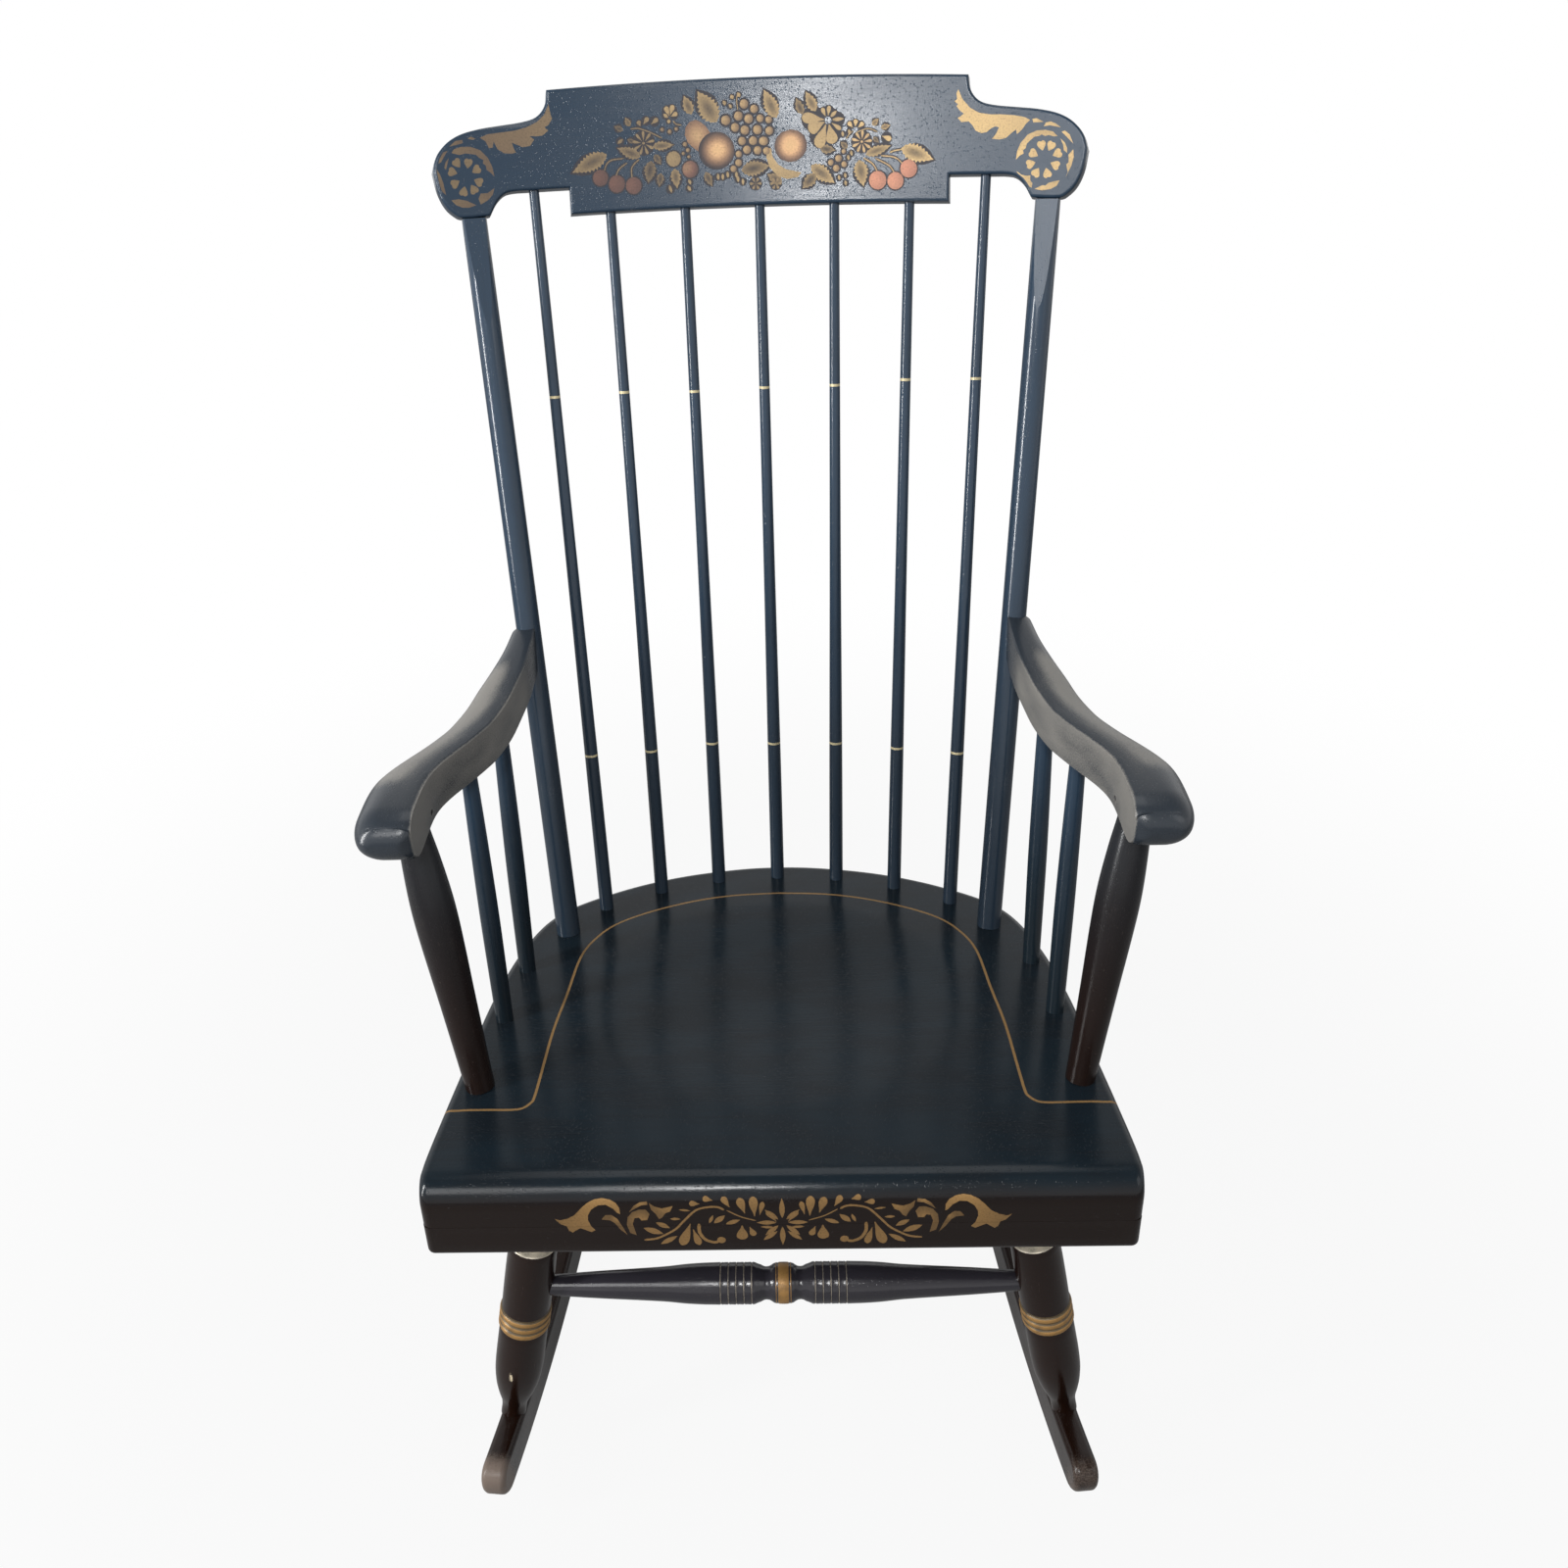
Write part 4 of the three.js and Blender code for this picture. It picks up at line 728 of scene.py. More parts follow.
LILY = [
    (-170.8, 42.5), (-166.3, 48.3), (-162.2, 50.3), (-160.8, 54.8), (-158.2, 57), (-151.9, 52.4),
    (-148.1, 54.4), (-143.6, 56.7), (-140.4, 54.7), (-143.5, 50.6), (-145.3, 44.2), (-144.9, 39.1),
    (-142, 33.4), (-136.6, 29.4), (-131, 29), (-125.7, 32.4), (-122.4, 37.2), (-120.4, 38.5),
    (-120.6, 31.9), (-123.1, 27.5), (-128, 24.5), (-133.6, 23.5), (-139.2, 24.4), (-144.8, 27.2),
    (-149.8, 32.1), (-155.1, 38.9), (-161, 42.6), (-166.8, 44.1),
]
LILY_LEAF = [
    (-135, 43.7), (-131.8, 39.3), (-127.2, 39.1), (-122.9, 43.2), (-119.7, 50.9), (-116.2, 60.3),
    (-121, 54.8), (-125.1, 47.7), (-128.6, 44.7),
]
SCROLL_ARC = [
    (-113.5, 36.4), (-109.8, 30.3), (-105, 27.2), (-99.5, 26.6), (-99.1, 29.4), (-103.8, 29.9),
    (-109.1, 33.1),
]
SCROLL = [
    (-105.9, 34), (-100.8, 34.1), (-98.2, 38.6), (-100.3, 44.9), (-104.8, 45.1), (-106.5, 42.2),
    (-109.8, 42.8), (-111.6, 48.5), (-109.4, 60.4), (-114.2, 58.1), (-116.1, 49.7), (-115.1, 42.1),
    (-111.2, 36.5),
]
BELL = [
    (-98.1, 27.8), (-94.1, 31.1), (-88.7, 33), (-84, 31.9), (-80.1, 30.8), (-82.4, 36.3),
    (-86.2, 38.1), (-88.8, 42.5), (-91.3, 44), (-93.5, 38.6), (-96.7, 34.2),
]
SEAT_LEAVES = [
    (-93.8, 47.5, -83.5, 53.4, 4.6), (-82.9, 43.9, -75, 44.2, 2.6), (-103.5, 53.1, -89, 59.4, 5.7),
    (-75.8, 34.5, -67.1, 35.9, 2.1), (-91.5, 70.1, -78.4, 61.9, 4.6),
    (-53.4, 48.8, -50.2, 40.6, 2.6), (-49.7, 48.8, -41.2, 41, 4.9), (-40.9, 49.9, -29.9, 45.7, 4.1),
    (-12.6, 67, -1.9, 57.9, 4.1), (-14.5, 53.2, -4.1, 53.8, 2.5),
]
SEAT_DROPS = [
    (-67.8, 49.2, -75.2, 71.6, 8), (-66, 55, -61.8, 71.5, 5.7), (-59.9, 29.2, -67.7, 28.7, 4.7),
    (-50.1, 26.4, -57.4, 24.6, 4.7), (-37.4, 32.6, -42.7, 23.7, 5.1),
    (-26.1, 39.1, -30.1, 24.7, 6.4), (-18.8, 42.1, -19.7, 23.7, 6.8),
    (-14.9, 40.9, -12.4, 28.1, 4.1), (-2.5, 47.9, -9.6, 37.2, 4.6), (-28.6, 51.7, -28.9, 66.2, 8.8),
    (-22.9, 53.1, -19.5, 62.5, 5.1),
]
PEAR_TOP = [
    (-51.3, 67.1), (-46.9, 65.2), (-42.8, 61.8), (-38.5, 55.7), (-38, 49), (-42, 44), (-48.7, 42),
    (-53.5, 45.6), (-58.3, 50), (-60.5, 55.9), (-59.6, 61.6), (-56.3, 65.6),
]
# centre, tone, and for each petal its distance from the centre and its bearing in degrees
# the left rosette's dimmer tone is painted shade
ROSETTES = [
    (-240.9, 34.7, 1, [
        (12.5, 124), (9.9, 78), (9.3, 28), (10.5, -27), (11.4, -64), (11.7, -106), (10.7, -154),
        (11.8, 160),
    ]),
    (233.8, 31.8, 2, [
        (10.8, 103), (11.3, 64), (11.2, 24), (9.6, -24), (10.4, -76), (11.6, -123), (11.3, -163),
        (9.8, 153),
    ]),
]
SEAT_STEMS = [
    (1.9, [(-103.9, 65.6), (-94.4, 64.2), (-85.7, 59.4), (-78.8, 54.1), (-71.8, 45.3),
           (-62.9, 35.3), (-53.6, 32.3), (-46.2, 32.5), (-41.7, 35.3)]),
    (1.1, [(-39.8, 35.7), (-29.9, 42.2), (-18, 46.8)]),
    (2.6, [(-61.3, 49.3), (-61.1, 58.3), (-57.5, 65.4), (-51.5, 68.7), (-47, 68.4)]),
]
SEAT_FLOWER_MIDDLE = (2.0, 48.8)
SEAT_FLOWER_PETALS = (19, 14, 15, 14, 19, 14, 15, 14)
SEAT_FLOWER_EYE, SEAT_PETAL_WIDTH = 4.5, 4.2
SEAT_BULB, SEAT_BULB_RADIUS = (-44.9, 66.6), 3.3
# shapes with a tone of their own, which is written as in TONES
PEAR = oval(-34.6, 42.8, 15, 14.6, 28)
PEAR_TONE, PEAR_TOP_TONE = (1.45, -0.05, 0.25), (1.0, 0.3, 0.25)
PEACH_TONE = (1.5, 0.05, 0.25)
# the left acanthus and scrolls are dimmer than the right: painted shade towards the rail's left end
ACANTHUS = [
    (ACANTHUS_LEFT, (-172, 84), (-235, 52), (0.76, 0.56, 0.08)),
    (ACANTHUS_RIGHT, (164, 84), (236, 50), (1.0, 0.84, 0.0)),
]
SCROLLS = [(SCROLLS_LEFT, (0.62, 0.46, 0.08)), (SCROLLS_RIGHT, (1.0, 0.78, 0.0))]
LILY_TONE, VINE_TONE = (1.0, 0.55, 0.0), (0.85, 0.4, 0.0)
# how far the bare paint shows round each kind of shape
LEAF_GAP, LEAF_GAP_PAST_TIP = 3, 0.08
STEM_GAP = 1.8
ROUND_GAP = 0.8
FLOWER_GAP = 0.6
SLIM_PETAL = 3.4  # narrower petals end in a point
SMALL_BERRY = 5  # smaller berries are grapes
BERRY_SHARE, GRAPE_SHARE = 0.95, 0.82  # of the radius that is read off
ROSETTE_INNER, ROSETTE_OUTER, ROSETTE_WIDTH = 3.9, 3.5, 7


def crest_motifs():
    """The stencil on the crest rail: first the bare gaps, then the shapes that lie on them."""
    shapes, gaps = [], []
    for row in LEAVES:
        x0, y0, x1, y1, width, tone = row
        shapes.append(leaf(*row))
        tip = (x1 + (x1 - x0) * LEAF_GAP_PAST_TIP, y1 + (y1 - y0) * LEAF_GAP_PAST_TIP)
        gaps.append(spear(x0, y0, *tip, width * LEAF_SLIM + LEAF_GAP, tone))
    for width, tone, *numbers in STEMS:
        path = list(zip(numbers[::2], numbers[1::2]))
        shapes.append(stroke(width, TONES[tone], path))
        gaps.append(stroke(width + STEM_GAP, TONES[tone], path))
    for row in PETALS:
        x0, y0, x1, y1, width, _ = row
        shapes.append(petal(*row, SPEAR_PROFILE if width < SLIM_PETAL else PETAL_PROFILE))
        radius = math.dist((x0, y0), (x1, y1)) / 2 + ROUND_GAP
        gaps.append(berry((x0 + x1) / 2, (y0 + y1) / 2, radius, 0))
    for row in FLOWERS:
        x, y, _, _, outer, *_ = row
        shapes += flower(*row)
        gaps.append(berry(x, y, outer + FLOWER_GAP, 0))
    shapes.append(patch(SLICE, (12, 34), (31, 20), TONES[1]))
    shapes.append(dome(PEAR_TOP, (-50, 55), 14, 15, PEAR_TOP_TONE))
    for x, y, radius, tone in BERRIES:
        gaps.append(berry(x, y, radius + ROUND_GAP, 0))
        if radius < SMALL_BERRY:
            shapes.append(berry(x, y, radius * GRAPE_SHARE, GRAPE))
        else:
            tone = LEFT_SHADED_CHERRY if tone == CHERRY and x < 0 else tone
            shapes.append(berry(x, y, radius * BERRY_SHARE, tone))
    shapes.append(dome(PEAR, (-33.6, 43.4), 15.4, 14.8, PEAR_TONE))
    shapes.append(dome(PEACH, (27, 45), 14.5, 14.5, PEACH_TONE))
    shapes += [patch(*row) for row in ACANTHUS]
    for outlines, tone in SCROLLS:
        for outline in outlines:
            shapes.append(patch(outline, outline[0], outline[len(outline) // 2], tone))
    for x, y, tone, petals in ROSETTES:
        for reach, degrees in petals:
            way = heading(math.radians(degrees))
            foot = Vector((x, y)) + way * (reach - ROSETTE_INNER)
            tip = Vector((x, y)) + way * (reach + ROSETTE_OUTER)
            shapes.append(petal(*foot, *tip, ROSETTE_WIDTH, tone, HEART_PROFILE))
    # every shape is dimmed towards the rail's left end as painted shade
    return [gap(shape) for shape in gaps] + [shaded_to_left(shape) for shape in shapes]


# painted shade across the stencil, dimmer towards the rail's left end
LEFT_SHADE_STRENGTH = 0.48  # strength of the powder at the rail's left end
LEFT_SHADE_SPAN = (-150, 30)  # where along the rail it grows to its full strength


def shaded_to_left(motif):
    """Painted shade: the powder is dimmed towards the rail's left end."""
    bright, dim, blush = motif.tone
    share = between(LEFT_SHADE_STRENGTH, 1.0, smooth_step(*LEFT_SHADE_SPAN, motif.centre.x))
    return motif._replace(tone=(bright * share, dim * share, blush))


def seat_front_motifs():
    """The vine on the seat's front, in (x, place up the unrolled surface)."""
    shapes = []
    middle, centre = SEAT_FLOWER_MIDDLE

    def at(side, x, v):
        return middle + (x - middle) * -side, ROLL - v

    def both_sides(outline, bright, dim, tone):
        for side in SIDES:
            flipped = [at(side, *p) for p in outline]
            shapes.append(patch(flipped, at(side, *bright), at(side, *dim), tone))

    both_sides(LILY, (-133, 26), (-165, 60), LILY_TONE)
    for outline in (LILY_LEAF, SCROLL_ARC, SCROLL, BELL):
        both_sides(outline, outline[len(outline) // 3], outline[-1], VINE_TONE)
    for side in SIDES:
        for width, path in SEAT_STEMS:
            shapes.append(stroke(width, TONES[1], [at(side, *p) for p in path]))
        shapes.append(berry(*at(side, *SEAT_BULB), SEAT_BULB_RADIUS, 1))
        for x0, v0, x1, v1, width in SEAT_LEAVES:
            shapes.append(spear(*at(side, x0, v0), *at(side, x1, v1), width, 1))
        for x0, v0, x1, v1, width in SEAT_DROPS:
            shapes.append(petal(*at(side, x0, v0), *at(side, x1, v1), width, 1))
    for k, reach in enumerate(SEAT_FLOWER_PETALS):
        way = heading(math.radians(90 + 45 * k))
        foot = Vector((middle, ROLL - centre)) + way * SEAT_FLOWER_EYE
        shapes.append(spear(*foot, *(foot + way * reach), SEAT_PETAL_WIDTH, 1))
    return shapes


# Shading


class Wire:
    """A node's output that takes part in sums. Each operation adds one Math node."""

    def __init__(self, tree, socket):
        self.tree = tree
        self.socket = socket

    def math(self, operation, other, swapped=False):
        node = self.tree.nodes.new("ShaderNodeMath")
        node.operation = operation
        terms = (other, self) if swapped else (self, other)
        for socket, term in zip(node.inputs, terms):
            if isinstance(term, Wire):
                self.tree.links.new(term.socket, socket)
            else:
                socket.default_value = term
        return Wire(self.tree, node.outputs[0])

    def __add__(self, other):
        return self.math("ADD", other)

    def __radd__(self, other):
        return self.math("ADD", other, True)

    def __sub__(self, other):
        return self.math("SUBTRACT", other)

    def __rsub__(self, other):
        return self.math("SUBTRACT", other, True)

    def __mul__(self, other):
        return self.math("MULTIPLY", other)

    def __rmul__(self, other):
        return self.math("MULTIPLY", other, True)


class Finish:
    """Wires one material or world. Every node that isn't a sum comes from node()."""

    def __init__(self, tree):
        self.tree = tree
        tree.nodes.clear()

    def node(self, kind, settings=None, inputs=None, output=0):
        node = self.tree.nodes.new(kind)
        for name, value in (settings or {}).items():
            setattr(node, name, value)
        for name, value in (inputs or {}).items():
            if isinstance(value, Wire):
                self.tree.links.new(value.socket, node.inputs[name])
            else:
                node.inputs[name].default_value = value
        return Wire(self.tree, node.outputs[output] if len(node.outputs) else None)

    def stretched(self, vector, scales):
        return self.node("ShaderNodeVectorMath", {"operation": "MULTIPLY"}, {0: vector, 1: scales})

    def length(self, vector):
        return self.node("ShaderNodeVectorMath", {"operation": "LENGTH"}, {0: vector}, "Value")

    def part(self, vector, axis):
        return self.node("ShaderNodeSeparateXYZ", None, {"Vector": vector}, axis)

    def noise(self, vector, scales, detail=3.0):
        inputs = {"Vector": self.stretched(vector, scales), "Scale": 1.0, "Detail": detail}
        return self.node("ShaderNodeTexNoise", None, inputs)

    def dust(self, vector, scale, detail):
        return self.noise(vector, (scale, scale, scale), detail)

    def cells(self, vector, scale):
        return self.node("ShaderNodeTexVoronoi", None, {"Vector": vector, "Scale": scale})

    def bump(self, height, strength, distance):
        inputs = {"Height": height, "Strength": strength, "Distance": distance}
        return self.node("ShaderNodeBump", None, inputs)

    def ray(self, kind):
        return self.node("ShaderNodeLightPath", None, None, f"Is {kind} Ray")

    def ramp(self, value, low, high):
        settings = {"interpolation_type": "SMOOTHSTEP"}
        inputs = {"Value": value, "From Min": low, "From Max": high}
        return self.node("ShaderNodeMapRange", settings, inputs)

    def mix(self, share, a, b, blend="MIX"):
        settings = {"data_type": "RGBA", "blend_type": blend}
        return self.node("ShaderNodeMix", settings, {0: share, 6: a, 7: b}, 2)

    def attribute(self, name, output):
        return self.node("ShaderNodeAttribute", {"attribute_name": name}, None, output)

    def place(self):
        return self.node("ShaderNodeTexCoord", None, None, "Object")

    def surface(self, inputs):
        shader = self.node("ShaderNodeBsdfPrincipled", None, inputs)
        self.node("ShaderNodeOutputMaterial", None, {"Surface": shader})


def opaque(colour):
    return (*colour, 1.0)


def darker(colour, share):
    return tuple(c * share for c in colour)


def new_finish(name):
    material = bpy.data.materials.new(name)
    material.use_nodes = True
    return material, Finish(material.node_tree)


TALL = (0.42, 0.86)  # from the seat to the crest rail, in metres
# A paint: colours at the top and foot of a span, gloss, grain under the paint, what shows where
# it is rubbed through, the span, whether it runs up the chair or over the piece, and bare chips.
Paint = namedtuple(
    "Paint", "high low rough gloss grain rubbed span gauge chips", defaults=(TALL, "height", ()),
)


def paint_finish(name, paint):
    """Paint that darkens over its span, with streaks, scratches, flecks and rubbed places."""
    material, f = new_finish(name)
    grain = f.attribute("Grain", "Vector")
    wear_and_light = f.attribute("WearAndLight", "Fac")
    place = f.place()
    height = f.part(place, "Z") if paint.gauge == "height" else f.part(grain, "Y")
    share = f.ramp(height, *paint.span)
    streaks = f.noise(grain, (14, 420, 420), 4.0)
    cloud = f.noise(grain, (11, 26, 26))
    dust = f.dust(grain, 900, 2.0)
    colour = f.mix(share, opaque(paint.low), opaque(paint.high))
    shade = f.ramp(cloud * 0.7 + streaks * 0.3, 0.36, 0.66)
    colour = f.mix(shade * 0.34, colour, opaque(darker(paint.low, 0.62)))
    hair = f.noise(grain, (60, 1500, 1500), 2.0)
    scratch = f.ramp(hair, 0.7, 0.78) * f.ramp(cloud, 0.5, 0.62)
    fleck = (1 - f.ramp(f.cells(grain, 120.0), 0.05, 0.11)) * f.ramp(dust, 0.46, 0.6)
    # rubbed places turn paler; on the arms, the seat's roll and the left rocker toe they also carry
    # painted light
    rub_and_sheen = f.ramp(wear_and_light + (dust - 0.5) * 0.5 + (cloud - 0.5) * 0.9, 0.3, 0.85)
    colour = f.mix(scratch * 0.22 + fleck * 0.16, colour, opaque(darker(paint.rubbed, 0.6)))
    colour = f.mix(rub_and_sheen * 0.7, colour, opaque(paint.rubbed))
    for centre, reach, bare in paint.chips:
        away = f.node("ShaderNodeVectorMath", {"operation": "SUBTRACT"}, {0: place, 1: centre})
        away = f.length(f.stretched(away, tuple(1 / r for r in reach)))
        chip = 1 - f.ramp(away + (dust - 0.5) * 2.4, 0.75, 0.9)
        colour = f.mix(chip, colour, opaque(bare))
    rough = paint.rough + (cloud - 0.5) * 0.2 + rub_and_sheen * 0.16 + (streaks - 0.5) * 0.1 + scratch * 0.12
    pits = 1 - f.ramp(f.cells(grain, 420.0), 0.08, 0.3)
    relief = streaks * paint.grain + dust * 0.2 - pits * cloud * 0.9 - rub_and_sheen * 0.3 - scratch * 0.3
    f.surface({
        "Base Color": colour, "Roughness": rough, "Normal": f.bump(relief, 0.4, 0.0004),
        "Specular IOR Level": paint.gloss,
    })
    return material


def powder_finish(name, powder, blushed, ground, gloss):
    """Bronze powder brushed through a stencil, thin and dusty where it fades."""
    material, f = new_finish(name)
    grain = f.attribute("Grain", "Vector")
    away = f.length(f.attribute("Motif", "Vector"))
    tone = f.attribute("Powder", "Color")
    channels = [f.node("ShaderNodeSeparateColor", None, {"Color": tone}, c) for c in (0, 1, 2)]
    bright, dim, blush = channels
    fade = f.ramp(away, 0.0, 1.05)
    dust = f.dust(grain, 700, 3.0)
    cloud = f.dust(grain, 60, 3.0)
    strength = bright + (dim - bright) * fade
    strength = strength * (0.78 + cloud * 0.44) * (1 - f.ramp(dust, 0.54, 0.72) * 0.3)
    gold = f.mix(blush * (fade * 1.6 + 1), opaque(powder), opaque(blushed))
    gold = f.mix(f.ramp(dust + cloud * 0.5, 0.5, 0.9) * 0.3, gold, opaque(darker(powder, 0.55)))
    clear = f.node("ShaderNodeClamp", None, {"Value": strength})
    colour = f.mix(clear, opaque(ground), gold)
    f.surface({
        "Base Color": colour, "Roughness": 0.38 + dust * 0.2, "Metallic": clear * 0.35,
        "Normal": f.bump(dust * 0.6, 0.3, 0.0002), "Specular IOR Level": gloss,
    })
    return material


def gilt_finish(name, bright, ground):
    """Solid gold paint on turned rings, rubbed thin in places."""
    material, f = new_finish(name)
    grain = f.attribute("Grain", "Vector")
    wear_and_light = f.attribute("WearAndLight", "Fac")
    dust = f.dust(grain, 1300, 3.0)
    cloud = f.noise(grain, (90, 120, 120))
    thin = f.ramp(cloud + wear_and_light * 0.6 + (dust - 0.5) * 0.4, 0.5, 0.8)
    colour = f.mix(thin * 0.75, opaque(darker(bright, 0.92)), opaque(darker(bright, 0.3)))
    colour = f.mix(f.ramp(dust, 0.6, 0.75) * 0.5, colour, opaque(darker(ground, 0.8)))
    f.surface({
        "Base Color": colour, "Roughness": 0.32 + dust * 0.24, "Metallic": 0.35 - thin * 0.3,
        "Normal": f.bump(dust, 0.35, 0.0002),
    })
    return material


def plain_finish(name, colour, dark, rough, metal, streak):
    """Bare wood or bare steel."""
    material, f = new_finish(name)
    place = f.place()
    cloud = f.noise(place, streak, 4.0)
    dust = f.dust(place, 1500, 2.0)
    tone = f.mix(f.ramp(cloud * 0.7 + dust * 0.3, 0.35, 0.65), opaque(colour), opaque(dark))
    f.surface({
        "Base Color": tone, "Roughness": rough + (dust - 0.5) * 0.2, "Metallic": metal,
        "Normal": f.bump(cloud + dust * 0.4, 0.4, 0.0003),
    })
    return material


def sizes():
    return bpy.context.scene.chair_sizes


# pale grey that rubbed paint turns to, which on the seat's roll also stands for a painted highlight
DUSTY_AND_HIGHLIGHT = linear((122, 124, 126))
# scuffed colour, which on the left rocker toe also stands for a painted highlight
SCUFF_AND_HIGHLIGHT = linear((132, 118, 108))
# pale grey of the arms' tops: rubbed paint with a painted sheen
RUBBED_AND_SHEEN = linear((152, 148, 141))
# pale gold of the spindles' rings, paler than the gilt to carry a painted glint
SPINDLE_GOLD_AND_GLINT = linear((214, 200, 160))
SCRIBED = linear((160, 150, 136))
CREAM = linear((205, 190, 160))
# cream tops of the legs' shoulders: their own pale colour with a painted highlight, kept bright
# though they lie in the seat's shade
SHOULDER_PALE_AND_HIGHLIGHT = linear((214, 204, 184))
SHOULDER_DARKER = linear((140, 128, 112))
STEEL = linear((88, 84, 80))
STEEL_DARK = linear((52, 46, 42))
LEG_CHIP_PLACE = (-243.4, 41.8, 131.0)
LEG_CHIP_REACH = (0.0016, 0.02, 0.0046)  # metres


def finish_named(name):
    """The material of that name, wired when it is first asked for."""
    if name in bpy.data.materials:
        return bpy.data.materials[name]
    c = bpy.context.scene.chair_colours
    chip = (spot(*LEG_CHIP_PLACE), LEG_CHIP_REACH, CREAM)
    paints = {
        "Crest paint": Paint(darker(c.upper, 0.9), c.upper, 0.22, 0.34, 0.22, DUSTY_AND_HIGHLIGHT),
        "Spindle paint": Paint(c.upper, c.upper_low, 0.17, 0.44, 0.3, DUSTY_AND_HIGHLIGHT),
        "Arm paint": Paint(c.arm, c.arm, 0.26, 0.4, 0.4, RUBBED_AND_SHEEN),
        "Arm spindle paint": Paint(c.upper, c.seat, 0.26, 0.36, 0.3, DUSTY_AND_HIGHLIGHT, (0.42, 0.66)),
        "Post paint": Paint(c.post, c.post_low, 0.24, 0.26, 0.4, SCUFF_AND_HIGHLIGHT, (0.46, 0.64)),
        "Seat paint": Paint(c.seat, c.face, 0.17, 0.27, 0.3, DUSTY_AND_HIGHLIGHT, (-0.012, 0.008), "piece"),
        "Stretcher paint": Paint(darker(c.ground, 0.5), c.ground, 0.18, 0.5, 0.5, SCUFF_AND_HIGHLIGHT),
        "Leg paint": Paint(c.lower, c.lower, 0.2, 0.3, 0.4, SCUFF_AND_HIGHLIGHT, chips=[chip]),
    }
    powders = {
        "Crest stencil": (c.powder, c.blush, c.ground, 0.34),
        "Seat stencil": (c.vine, c.vine, darker(c.ground, 0.3), 0.25),
    }
    gilts = {
        "Gilt": (c.band, c.ground),
        # rings on the back spindles, pale gold with a painted glint
        "Spindle line": (SPINDLE_GOLD_AND_GLINT, c.upper),
        # darker gilt for the grooves between the leg beads: painted shade
        "Shaded groove gilt": (darker(c.powder, 0.22), darker(c.ground, 0.4)),
        "Scribed line": (SCRIBED, c.lower),
        # the legs' shoulders, cream with a painted highlight
        "Leg shoulder": (SHOULDER_PALE_AND_HIGHLIGHT, SHOULDER_DARKER),
    }
    if name in paints:
        return paint_finish(name, paints[name])
    if name in powders:
        return powder_finish(name, *powders[name])
    if name in gilts:
        return gilt_finish(name, *gilts[name])
    if name == "Bare wood":
        return plain_finish(name, c.bare, darker(c.bare, 0.55), 0.6, 0.0, (60, 400, 60))
    return plain_finish(name, STEEL, STEEL_DARK, 0.5, 0.9, (300, 300, 300))


def finishes(*names):
    return [finish_named(name) for name in names]


# Crest rail

CREST_HEIGHT = 95.5
CREST_THICKNESS = 17
CREST_CROWN = 2.5
CREST_MESH = (6, 8)  # spacing of the points that carry its bend
TOP_HALF = 172
STEP_HALF = 157.5
LOW_STEPS, HIGH_STEPS = 22, 24  # points along half of the lower and upper edge
EAR_REACH = 267.5
EAR_TOP_SHARE = 0.73  # height of the ears' upper edge, of the rail's
CREST_RIM_WEAR, EAR_TIP_WEAR = 0.4, 0.34
EAR_TOP = [
    (0, 1), (0.015, 0.897), (0.06, 0.825), (0.13, 0.781), (0.25, 0.758), (0.42, 0.744),
    (0.58, 0.73), (0.73, 0.702), (0.84, 0.656), (0.92, 0.592), (0.97, 0.523), (1, 0.425),
]
EAR_BOTTOM = [
    (0, 0.215), (0.3, 0.218), (0.42, 0.218), (0.49, 0.2), (0.55, 0.138), (0.6, 0.042),
    (0.615, 0.037), (0.8, 0.037), (0.87, 0.075), (0.93, 0.15), (0.975, 0.27), (1, 0.425),
]


def crest_outline():
    """Right half from the bottom's middle round the ear to the top's middle, then its mirror."""
    low = [Vector((x, 0)) for x in even_steps(0, STEP_HALF, LOW_STEPS)]
    ear_low = [(between(STEP_HALF, EAR_REACH, a), CREST_HEIGHT * b) for a, b in EAR_BOTTOM]
    ear_high = [(between(TOP_HALF, EAR_REACH, a), CREST_HEIGHT * b) for a, b in EAR_TOP]
    under = curve_through(ear_low[:6], 4) + curve_through(ear_low[6:], 5)
    over = curve_through(ear_high, 4)[::-1][1:]
    top = []
    for x in even_steps(TOP_HALF, 0, HIGH_STEPS)[1:]:
        top.append(Vector((x, CREST_HEIGHT + CREST_CROWN * (1 - (x / TOP_HALF) ** 2))))
    half = low + under + over + top
    return half + [Vector((-p.x, p.y)) for p in half[-2:0:-1]]


def crest_wear(x, y):
    """Rubbed along the upper and lower edges and at the tips of the ears."""
    top = CREST_HEIGHT if abs(x) < TOP_HALF else CREST_HEIGHT * EAR_TOP_SHARE
    rim = smooth_step(top - 3, top, y) * CREST_RIM_WEAR + smooth_step(4, 0, y) * CREST_RIM_WEAR
    return rim + EAR_TIP_WEAR * smooth_step(258, 267, abs(x))


class OBJECT_OT_chair_crest(bpy.types.Operator):
    """Bent crest rail with its ears, painted and stencilled"""

    bl_idname = "object.chair_crest"
    bl_label = "Crest rail"

    def execute(self, context):
        edge = sizes().crest_edge / MM
        form = Form()
        sawn(
            form, crest_outline(), CREST_THICKNESS, edge, CREST_MESH, crest_motifs(), crest_place,
            crest_wear,
        )
        dressed(form, "crest_rail", ("Crest paint", "Crest stencil"), "upper_paint")
        return {"FINISHED"}


# Stiles and spindles of the back

